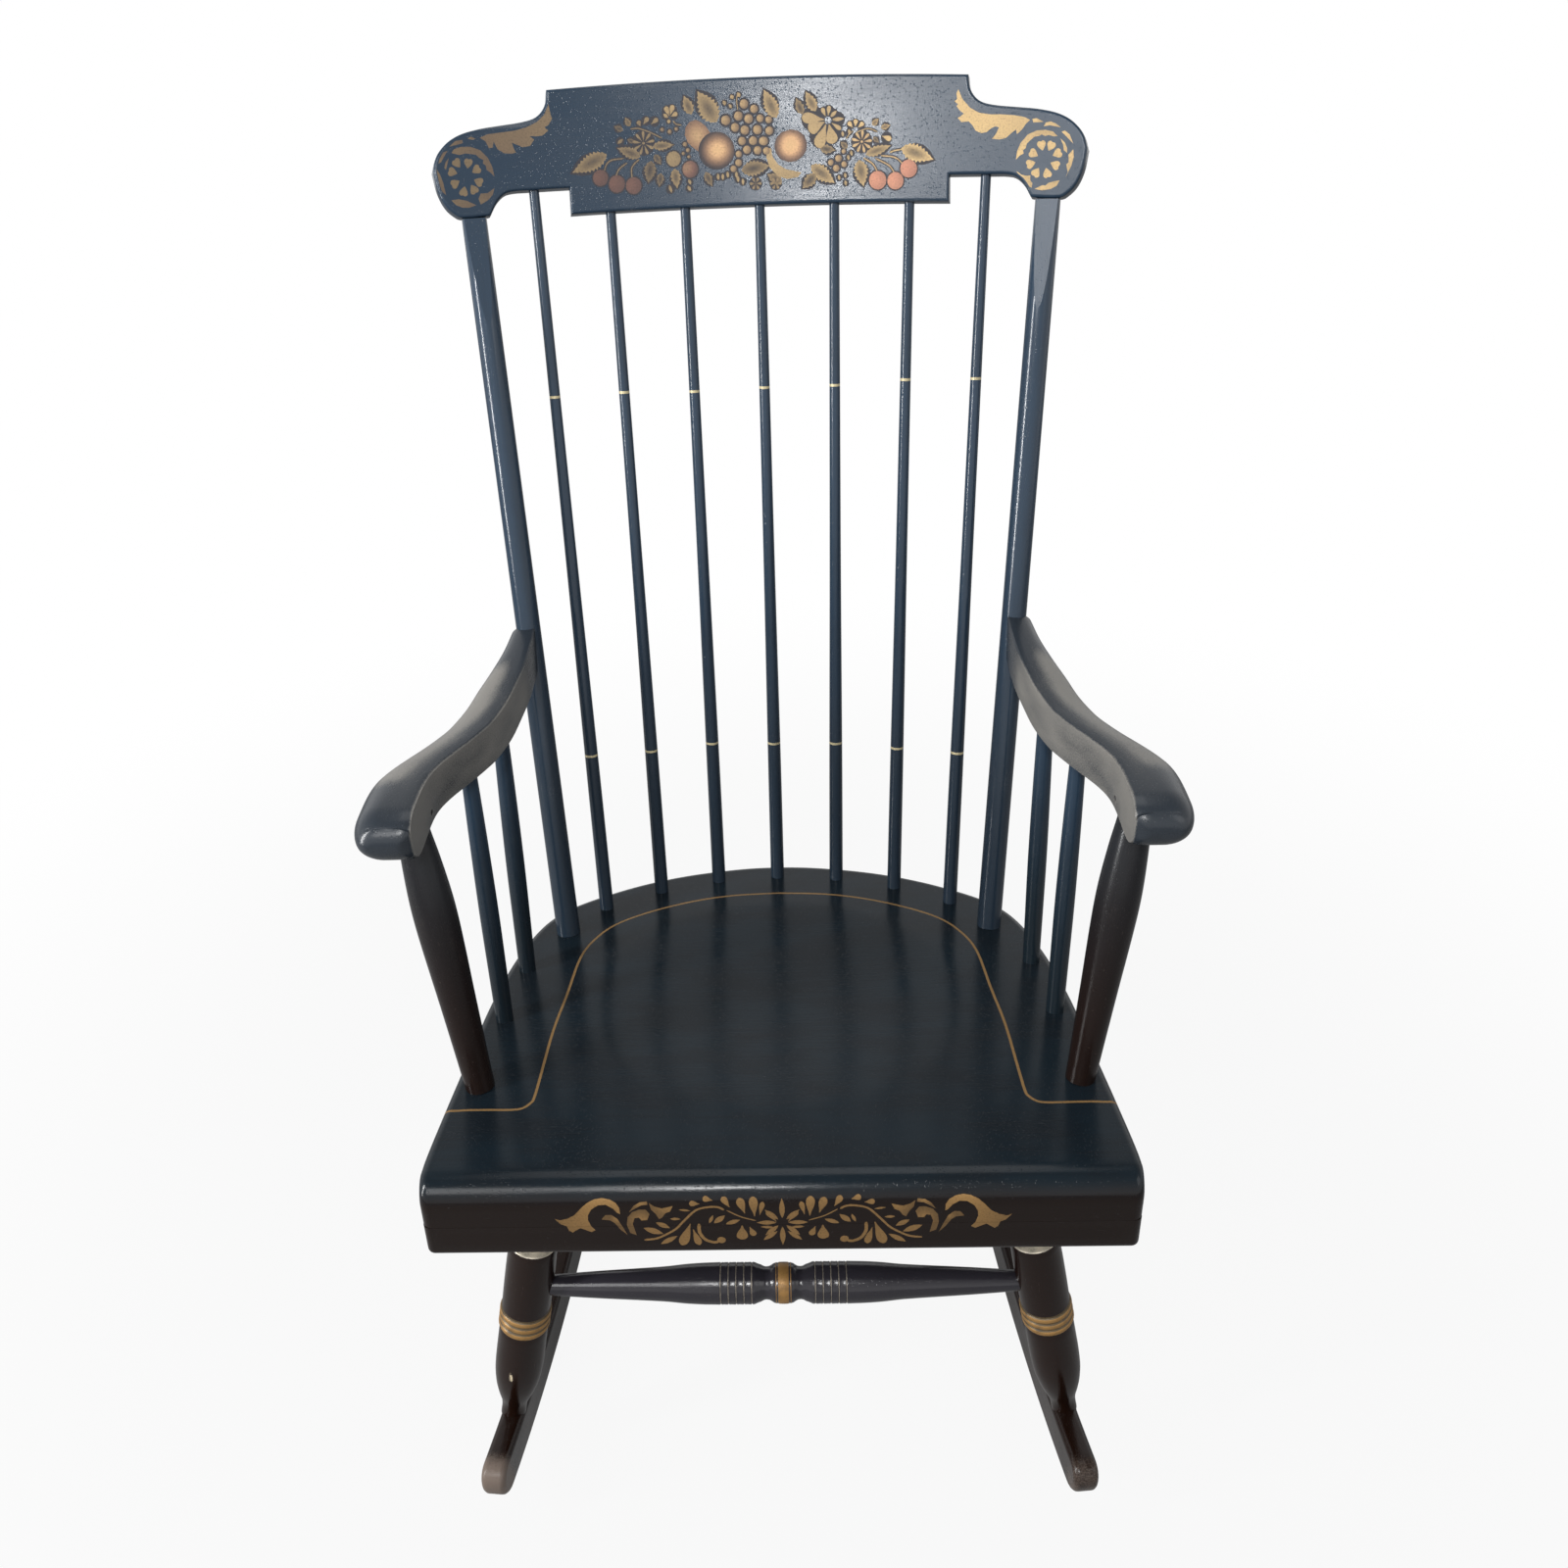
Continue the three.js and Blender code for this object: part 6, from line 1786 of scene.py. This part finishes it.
class OBJECT_OT_chair_seat_strip(bpy.types.Operator):
    """Strip glued under the front edge of the seat, with the lower part of the vine"""

    bl_idname = "object.chair_seat_strip"
    bl_label = "Strip under the seat"

    def execute(self, context):
        top, foot = ROLL - STRIP_START, ROLL - STRIP_END
        flat = SEAT_HALF * SEAT_OUTLINE[0][0] - STRIP_CORNER - FLAT_RIM
        vine, crossings = cut_motifs(seat_front_motifs(), top, False)
        even = even_steps(-flat, flat, 46)
        upper = with_crossings(even[1:-1], crossings)
        ends = [(flat + FLAT_RIM, 0.0)]
        angles = [math.pi / 2 * k / STRIP_STEPS for k in range(1, STRIP_STEPS + 1)]
        for angle in angles:
            ends.append((flat + FLAT_RIM + STRIP_CORNER * math.sin(angle), 1 - math.cos(angle)))
        start = STRIP_CORNER - SEAT_THICKNESS - STRIP_HEIGHT
        # depth, height and the way outwards of the end's outline, from the painted face's foot
        lines = [(0.0, start, (-1.0, 0.0))]
        for angle in angles:
            way = (-math.cos(angle), -math.sin(angle))
            lines.append((STRIP_CORNER * (1 + way[0]), start + STRIP_CORNER * way[1], way))
        lines += [
            (STRIP_DEPTH - STRIP_SLOPE, start - STRIP_CORNER, (-0.3, -1.0)),
            (STRIP_DEPTH, start - STRIP_CORNER + STRIP_SLOPE, (1.0, -0.3)),
            (STRIP_DEPTH, STRIP_GAP - SEAT_THICKNESS, (1.0, 0.0)),
        ]
        form = Form()

        def skin(x, share, line):
            depth, up, way = line
            inset = STRIP_CORNER * share
            place = seat_place(x, depth - way[0] * inset, up - way[1] * inset)
            return form.point(place, (x, foot - depth, up), STRIP_WEAR)

        left = [(-x, share) for x, share in reversed(ends)]
        columns = left + [(x, 0.0) for x in even] + ends
        rows = [[skin(x, share, line) for x, share in columns] for line in lines]
        for near, far in zip(rows, rows[1:]):
            form.strip(near, far, 0, False)
        brink = (0.0, STRIP_GAP - SEAT_THICKNESS, (-1.0, 0.0))
        places = [*left, *[(x, 0.0) for x in (-flat, *upper, flat)], *ends]
        high = [skin(x, share, brink) for x, share in places]
        form.face([*high, *rows[-1][::-1]])
        count = len(ends)
        for part in (slice(None, count + 1), slice(-count - 1, None)):
            form.strip(rows[0][part], high[part], 0, False)
        for end in (0, -1):
            form.face([high[end], *[row[end] for row in rows]])
        outline = [Vector((x, foot)) for x in even]
        outline += [Vector((x, top)) for x in [flat, *upper[::-1], -flat]]
        ring = rows[0][count:-count] + high[count:-count][::-1]
        painted(form, outline, ring, STRIP_MESH, vine, roll_place, lambda x, u: (x, u, 0))
        paints = finishes("Seat paint", "Seat stencil")
        name, node = "seat_front_strip_dressed", "seat_front_roll"
        finished(form, name, paints, [node], SHARP_SEAT)
        return {"FINISHED"}


# Rockers, legs and stretchers

ROCKER_RADIUS = 1000
ROCKER_X = 232.3
ROCKER_BALANCE = 275.2
ROCKER_SPLAY = math.radians(4.87)
ROCKER_LIFT = 0.0845
ROCKER_FRONT = -297
ROCKER_BACK = 405
ROCKER_THICKNESS = 22
ROCKER_HEIGHT, ROCKER_END_HEIGHT = 44, 36  # in the middle and at the back end
TOE_STEPS = 12
ROCKER_MESH = (9, 9)
TOE_LENGTH = 18  # of the rounding at each end
# the left toe is paler than the right: rubbed paint with a painted highlight
TOE_WEAR_AND_HIGHLIGHT = {-1: 0.88, 1: 0.5}
FLOOR_WEAR = 0.4
LEG_TOPS = {"front": (192.5, 90, -221), "back": (158, 362, 157)}
LEG_SHOULDER = 207
LEG_RING_MIDDLE = 121
LEG_RING_PITCH = 7.2
LEG_RINGS = 3
LEG_LEAST_WEAR, LEG_FOOT_WEAR, LEG_NECK_WEAR = 0.06, 0.2, 0.1
# (distance, radius) from the rocker up to the rings
LEG_FOOT = [
    (-3, 11.3), (3, 11.2), (9, 11.4), (16, 12.6), (26, 15.8), (38, 18.8), (52, 20.8), (68, 21.5),
    (84, 21.5),
]
# one ring: (share of the pitch, radius, slot)
# slot 2 is the darker gilt in the grooves: painted shade
LEG_RING = [
    (0.0, 21.0, 2), (0.1, 21.2, 2), (0.2, 22.1, 1), (0.32, 22.5, 1), (0.5, 22.6, 1),
    (0.68, 22.5, 1), (0.8, 22.1, 2), (0.9, 21.2, 2),
]
# (distance from the shoulder, radius, slot)
# slot 3 is the shoulder's cream top, which carries a painted highlight
LEG_SHOULDER_STEPS = [
    (-1.2, 20.4, 3), (-0.3, 19.4, 3), (0, 18.2, 3), (0.4, 15.5, 3), (1.2, 14.4, 3), (4, 14, 0),
]
STRETCHER_HEIGHTS = {"front": 154, "back": 150, "side": 183}  # up the leg
STRETCHER_TRIM = 14.4  # from a leg's axis to the end of the stretcher's taper
# the front stretcher from its middle band outwards: (distance, radius, slot beyond it)
STRETCHER_BAND = [
    (0.0, 17.1, 1), (3.6, 17.0, 1), (4.6, 16.6, 0), (5.2, 16.5, 0), (5.9, 16.6, 1), (6.6, 16.5, 0),
    (8.4, 16.0, 0), (10.2, 14.8, 0), (12.4, 13.7, 0), (15, 13.4, 0), (17, 13.8, 0),
    (19.5, 15.1, 0), (21.5, 15.7, 0), (23.4, 16.4, 0),
]
SCRIBED_START, SCRIBED_PITCH, SCRIBED_LINES = 24, 6.7, 5
# one scribed line: (distance from its middle, radius, slot)
SCRIBED_STEPS = [
    (-2.4, 17.1, 0), (-0.8, 17.3, 0), (-0.35, 16.8, 2), (0.35, 16.8, 0), (0.8, 17.3, 0),
]


def rocker_place(side, across, reach, height):
    """Place on a rocker, which splays outwards to the front. reach runs back from its balance."""
    turned = side * ROCKER_SPLAY
    x = across * math.cos(turned) - reach * math.sin(turned)
    y = across * math.sin(turned) + reach * math.cos(turned)
    return Vector((side * ROCKER_X + x, ROCKER_BALANCE + y, height))


def rocker_bottom(reach):
    """Height of the rolling arc, let down a little so that its facet stands on the floor."""
    return ROCKER_RADIUS - math.sqrt(ROCKER_RADIUS ** 2 - reach ** 2) - ROCKER_LIFT


def rocker_top(reach):
    height = between(ROCKER_HEIGHT, ROCKER_END_HEIGHT, (reach / ROCKER_BACK) ** 2)
    return rocker_bottom(reach) + height


def rocker_outline():
    """The lower edge, the rounded back end, the upper edge and the toe."""
    reaches = even_steps(ROCKER_FRONT + TOE_LENGTH, ROCKER_BACK - TOE_LENGTH, 110)
    low = [Vector((x, max(0.0, rocker_bottom(x)))) for x in reaches]
    high = [Vector((x, rocker_top(x))) for x in reversed(reaches)]
    outline = list(low)
    for corner, tip, way in ((low[-1], ROCKER_BACK, 1), (low[0], ROCKER_FRONT, -1)):
        half = (rocker_top(corner.x) - rocker_bottom(corner.x)) / 2
        for k in range(1, TOE_STEPS):
            angle = -math.pi / 2 + math.pi * k / TOE_STEPS
            reach = between(corner.x, tip, math.cos(angle))
            middle = (rocker_bottom(reach) + rocker_top(reach)) / 2
            outline.append(Vector((reach, middle + way * half * math.sin(angle))))
        if way == 1:
            outline += high
    return outline


class OBJECT_OT_chair_rockers(bpy.types.Operator):
    """Two rockers sawn to an arc, rubbed at floor and toes, the left toe with a painted highlight
    """

    bl_idname = "object.chair_rockers"
    bl_label = "Rockers"

    def execute(self, context):
        edge = sizes().rocker_edge / MM
        for side in SIDES:
            def wear_and_light(reach, height, most=TOE_WEAR_AND_HIGHLIGHT[side]):
                toe = smooth_step(-255, -290, reach) * most
                over_floor = height - rocker_bottom(max(-300, min(400, reach)))
                return toe + smooth_step(7, 0, over_floor) * FLOOR_WEAR

            def place(reach, height, behind, side=side):
                return rocker_place(side, behind - ROCKER_THICKNESS / 2, reach, height)

            form = Form()
            sawn(form, rocker_outline(), ROCKER_THICKNESS, edge, ROCKER_MESH, [], place, wear_and_light)
            dressed(form, f"rocker_{side_name(side)}", ["Leg paint"], "lower_paint")
        return {"FINISHED"}


def leg_line(which, side):
    """A leg's axis from the top of its rocker to the seat's underside."""
    seat_x, depth, reach = LEG_TOPS[which]
    foot = rocker_place(side, 0, reach, rocker_top(reach))
    return foot, seat_place(side * seat_x, depth, -SEAT_THICKNESS)


def leg_point(which, side, height):
    foot, hip = leg_line(which, side)
    return foot + (hip - foot).normalized() * height


def leg_profile(span):
    """A leg from its foot to the seat: (distance, radius, slot above it)."""
    start = LEG_RING_MIDDLE - LEG_RINGS / 2 * LEG_RING_PITCH
    profile = eased(LEG_FOOT + [(start - 1.5, 21.3)], 4)
    for k in range(LEG_RINGS):
        base = start + k * LEG_RING_PITCH
        profile += [(base + share * LEG_RING_PITCH, r, slot) for share, r, slot in LEG_RING]
    end = start + LEG_RINGS * LEG_RING_PITCH
    keys = [(end + 1, 21.2), (end + 24, 21.4), (end + 50, 21.3), (LEG_SHOULDER - 2.5, 20.8)]
    profile += eased(keys, 4)
    profile += [(LEG_SHOULDER + up, radius, slot) for up, radius, slot in LEG_SHOULDER_STEPS]
    return profile + [(span + 1, 14, 0)]


def leg_wear(along):
    """Rubbed at the foot and just under the shoulder."""
    foot, neck = smooth_step(12, 0, along), smooth_step(190, 204, along)
    return LEG_LEAST_WEAR + LEG_FOOT_WEAR * foot + LEG_NECK_WEAR * neck


class OBJECT_OT_chair_legs(bpy.types.Operator):
    """Four turned legs with three gilt rings each"""

    bl_idname = "object.chair_legs"
    bl_label = "Legs"

    def execute(self, context):
        paints = ("Leg paint", "Gilt", "Shaded groove gilt", "Leg shoulder")
        for side in SIDES:
            for which in LEG_TOPS:
                foot, hip = leg_line(which, side)
                turned_piece(
                    f"{which}_leg_{side_name(side)}", (foot, hip), leg_profile((hip - foot).length),
                    sizes().turning_sides, paints, "lower_paint", leg_wear, sharp=SHARP_RING,
                )
        return {"FINISHED"}


def front_stretcher_half(span):
    """Keys from the middle band outwards: (distance, radius, slot beyond it)."""
    keys = list(STRETCHER_BAND)
    for k in range(SCRIBED_LINES):
        middle = SCRIBED_START + (k + 0.5) * SCRIBED_PITCH
        keys += [(middle + off, radius, slot) for off, radius, slot in SCRIBED_STEPS]
    tail = [(58, 17.2), (70, 16.9), (84, 16.1), (104, 14.2), (span * 0.36, 11.2)]
    tail += [(span * 0.46, 8.4), (span / 2 - STRETCHER_TRIM, 8)]
    return keys + eased(tail, 4)


def stretcher_profile(span, half_keys):
    """Both halves of a stretcher, measured from its left or front end."""
    left = []
    for (along, radius, _), (_, _, slot) in zip(half_keys[::-1], half_keys[-2::-1]):
        left.append((span / 2 - along, radius, slot))
    return left + [(span / 2 + along, radius, slot) for along, radius, slot in half_keys]


class OBJECT_OT_chair_stretchers(bpy.types.Operator):
    """The turned front stretcher with its gilt band, and the three plain ones"""

    bl_idname = "object.chair_stretchers"
    bl_label = "Stretchers"

    def execute(self, context):
        lines = {}
        for which in LEG_TOPS:
            height = STRETCHER_HEIGHTS[which]
            lines[f"{which}_stretcher"] = [leg_point(which, side, height) for side in SIDES]
        height = STRETCHER_HEIGHTS["side"]
        for side in SIDES:
            ends = [leg_point(which, side, height) for which in LEG_TOPS]
            lines[f"side_stretcher_{side_name(side)}"] = ends
        paints = ("Stretcher paint", "Gilt", "Scribed line")
        for name, (start, end) in lines.items():
            span = (end - start).length
            if name == "front_stretcher":
                half = front_stretcher_half(span)
            else:
                keys = [(0, 11.6), (span * 0.12, 11.4), (span * 0.25, 10.5)]
                half = eased(keys + [(span / 2 - STRETCHER_TRIM, 7.6)], 6)
            turned_piece(
                name, (start, end), stretcher_profile(span, half), sizes().turning_sides, paints,
                "lower_paint", sharp=SHARP_RING,
            )
        return {"FINISHED"}


class OBJECT_OT_chair_pins(bpy.types.Operator):
    """Finishes for the pins and dowels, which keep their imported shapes"""

    bl_idname = "object.chair_pins"
    bl_label = "Pins and dowels"

    def execute(self, context):
        for name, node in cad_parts.items():
            if "_pin_" in name or "dowel" in name:
                kind = "Pin steel" if "_pin_" in name else "Bare wood"
                node.data.materials.clear()
                node.data.materials.append(finish_named(kind))
        return {"FINISHED"}


# Stage

CAMERA_PLACE = (15.153, -674.487, 1209.509)
CAMERA_PITCH = 0.5534674
CAMERA_YAW = -0.0355284
CAMERA_ROLL = -0.0404213
CAMERA_FOCUS = 1363.4006
CAMERA_CENTRE = (764.657, 777.828)
PICTURE = 1600  # width of the picture, in the same pixels as the two lines above
SENSOR = 36
FLOOR_REACH = 6  # metres
FLOOR_GREY, FLOOR_DARK_GREY = (0.3, 0.3, 0.3, 1), (0.27, 0.27, 0.27, 1)
WHITE, PALE_SKY = (1, 1, 1, 1), (0.95, 0.97, 1, 1)
FLOOR_LEVEL = 0.92  # under the chair, of the white further out
FLOOR_MIRRORED = 0.16
# name, aim, bearing from the front (right is positive), climb, distance, width, height, watts
LAMPS = [
    ("window", (0, 300, 750), -9, 38, 2.6, 0.4, 1.0, 9.5),
    ("far window", (0, 300, 750), -27, 32, 2.6, 0.8, 1.0, 12),
    ("bulb", (0, 480, 1060), -4.6, 28.4, 2.6, 0.14, 0.34, 12),
    ("strip", (0, 350, 750), -65, 15, 2.6, 0.26, 1.7, 58),
    ("fill", (0, 150, 600), 55, 32, 2.9, 1.4, 1.4, 8),
    ("top", (0, 250, 500), 180, 74, 2.9, 1.6, 1.6, 12),
]


def camera_turn():
    yaw, pitch, roll = CAMERA_YAW, CAMERA_PITCH, CAMERA_ROLL
    flat = math.cos(pitch)
    forward = Vector((math.sin(yaw) * flat, math.cos(yaw) * flat, -math.sin(pitch)))
    level = Vector((math.cos(yaw), -math.sin(yaw), 0))
    rise = level.cross(forward)
    right = level * math.cos(roll) + rise * math.sin(roll)
    upward = rise * math.cos(roll) - level * math.sin(roll)
    return Matrix((right, upward, -forward)).transposed()


class OBJECT_OT_chair_stage(bpy.types.Operator):
    """Pale floor, soft studio lights and the camera at the picture's angle"""

    bl_idname = "object.chair_stage"
    bl_label = "Stage"

    def execute(self, context):
        self.floor()
        self.world(context.scene)
        for lamp in LAMPS:
            self.lamp(context.scene, *lamp)
        self.camera(context.scene)
        context.scene.view_settings.view_transform = "Standard"
        return {"FINISHED"}

    def floor(self):
        reach = FLOOR_REACH
        corners = [(-reach, -reach, 0), (reach, -reach, 0), (reach, reach, 0), (-reach, reach, 0)]
        mesh = bpy.data.meshes.new("floor")
        mesh.from_pydata(corners, [], [(0, 1, 2, 3)])
        material, f = new_finish("Floor")
        place = f.place()
        # a reflection meets the same pale floor at a sixth of its level, as in a dim room
        lit = f.ramp(f.length(place), 0.5, 1.7) * (1 - FLOOR_LEVEL) + FLOOR_LEVEL
        seen = self.sight(f) * (FLOOR_MIRRORED + f.ray("Camera") * (1 - FLOOR_MIRRORED))
        paper = f.dust(place, 9, 3.0)
        plain = f.mix(paper * 0.2, FLOOR_GREY, FLOOR_DARK_GREY)
        diffuse = f.node("ShaderNodeBsdfDiffuse", None, {"Color": plain})
        white = f.node("ShaderNodeEmission", None, {"Color": WHITE, "Strength": 1.0})
        both = f.node("ShaderNodeMixShader", None, {0: seen * lit, 1: diffuse, 2: white})
        f.node("ShaderNodeOutputMaterial", None, {"Surface": both})
        mesh.materials.append(material)
        floor = bpy.data.objects.new("floor", mesh)
        bpy.context.scene.collection.objects.link(floor)

    def world(self, scene):
        scene.world = bpy.data.worlds.new("Studio")
        scene.world.use_nodes = True
        f = Finish(scene.world.node_tree)
        climb = f.part(f.node("ShaderNodeTexCoord", None, None, "Generated"), "Z")
        # reflections meet the white backdrop low down and a darker room above it
        share = self.sight(f) * (1 - f.ramp(climb, 0.12, 1.08) * 0.86 * (1 - f.ray("Camera")))
        soft, white, dark = (
            f.node("ShaderNodeBackground", None, {"Color": colour, "Strength": strength})
            for colour, strength in ((PALE_SKY, 0.3), (WHITE, 1.0), (WHITE, 0.0))
        )
        room = f.node("ShaderNodeMixShader", None, {0: self.sight(f), 1: soft, 2: dark})
        both = f.node("ShaderNodeMixShader", None, {0: share, 1: room, 2: white})
        f.node("ShaderNodeOutputWorld", None, {"Surface": both})

    def sight(self, f):
        """1 for what the camera sees, straight or in a reflection or through glass."""
        either = f.ray("Camera").math("MAXIMUM", f.ray("Glossy"))
        return either.math("MAXIMUM", f.ray("Transmission"))

    def lamp(self, scene, name, aim, bearing, climb, distance, width, height, watts):
        light = bpy.data.lights.new(name, "AREA")
        light.shape = "RECTANGLE"
        light.size = width
        light.size_y = height
        light.energy = watts
        turned, high = math.radians(bearing), math.radians(climb)
        flat = math.cos(high)
        way = Vector((math.sin(turned) * flat, -math.cos(turned) * flat, math.sin(high)))
        lamp = bpy.data.objects.new(name, light)
        lamp.location = spot(*aim) + way * distance
        lamp.rotation_euler = way.to_track_quat("Z", "Y").to_euler()
        scene.collection.objects.link(lamp)

    def camera(self, scene):
        view = bpy.data.cameras.new("camera")
        view.sensor_width = SENSOR
        view.lens = SENSOR * CAMERA_FOCUS / PICTURE
        view.shift_x = (PICTURE / 2 - CAMERA_CENTRE[0]) / PICTURE
        view.shift_y = (CAMERA_CENTRE[1] - PICTURE / 2) / PICTURE
        camera = bpy.data.objects.new("camera", view)
        camera.matrix_world = Matrix.Translation(spot(*CAMERA_PLACE)) @ camera_turn().to_4x4()
        scene.collection.objects.link(camera)
        scene.camera = camera


# Panel and registration

OPERATORS = (
    OBJECT_OT_chair_crest,
    OBJECT_OT_chair_stiles,
    OBJECT_OT_chair_spindles,
    OBJECT_OT_chair_arms,
    OBJECT_OT_chair_arm_posts,
    OBJECT_OT_chair_seat,
    OBJECT_OT_chair_seat_strip,
    OBJECT_OT_chair_rockers,
    OBJECT_OT_chair_legs,
    OBJECT_OT_chair_stretchers,
    OBJECT_OT_chair_pins,
    OBJECT_OT_chair_stage,
)


class VIEW3D_PT_chair(bpy.types.Panel):
    """Sizes, colours and pieces of the rocking chair"""

    bl_label = "Rocking chair"
    bl_idname = "VIEW3D_PT_chair"
    bl_space_type = "VIEW_3D"
    bl_region_type = "UI"
    bl_category = "Chair"

    def draw(self, context):
        layout = self.layout
        for group in (context.scene.chair_sizes, context.scene.chair_colours):
            for name in group.bl_rna.properties.keys():
                if name not in ("rna_type", "name"):
                    layout.prop(group, name)
        for operator in OPERATORS:
            layout.operator(operator.bl_idname)


CLASSES = (ChairSizes, ChairColours, *OPERATORS, VIEW3D_PT_chair)


def register():
    for item in CLASSES:
        bpy.utils.register_class(item)
    bpy.types.Scene.chair_sizes = PointerProperty(type=ChairSizes)
    bpy.types.Scene.chair_colours = PointerProperty(type=ChairColours)


def unregister():
    del bpy.types.Scene.chair_colours
    del bpy.types.Scene.chair_sizes
    for item in reversed(CLASSES):
        bpy.utils.unregister_class(item)


def main():
    register()
    for operator in OPERATORS:
        group, name = operator.bl_idname.split(".")
        if getattr(getattr(bpy.ops, group), name)() != {"FINISHED"}:
            raise RuntimeError(f"{operator.bl_label} stopped early")


if __name__ == "__main__":
    main()
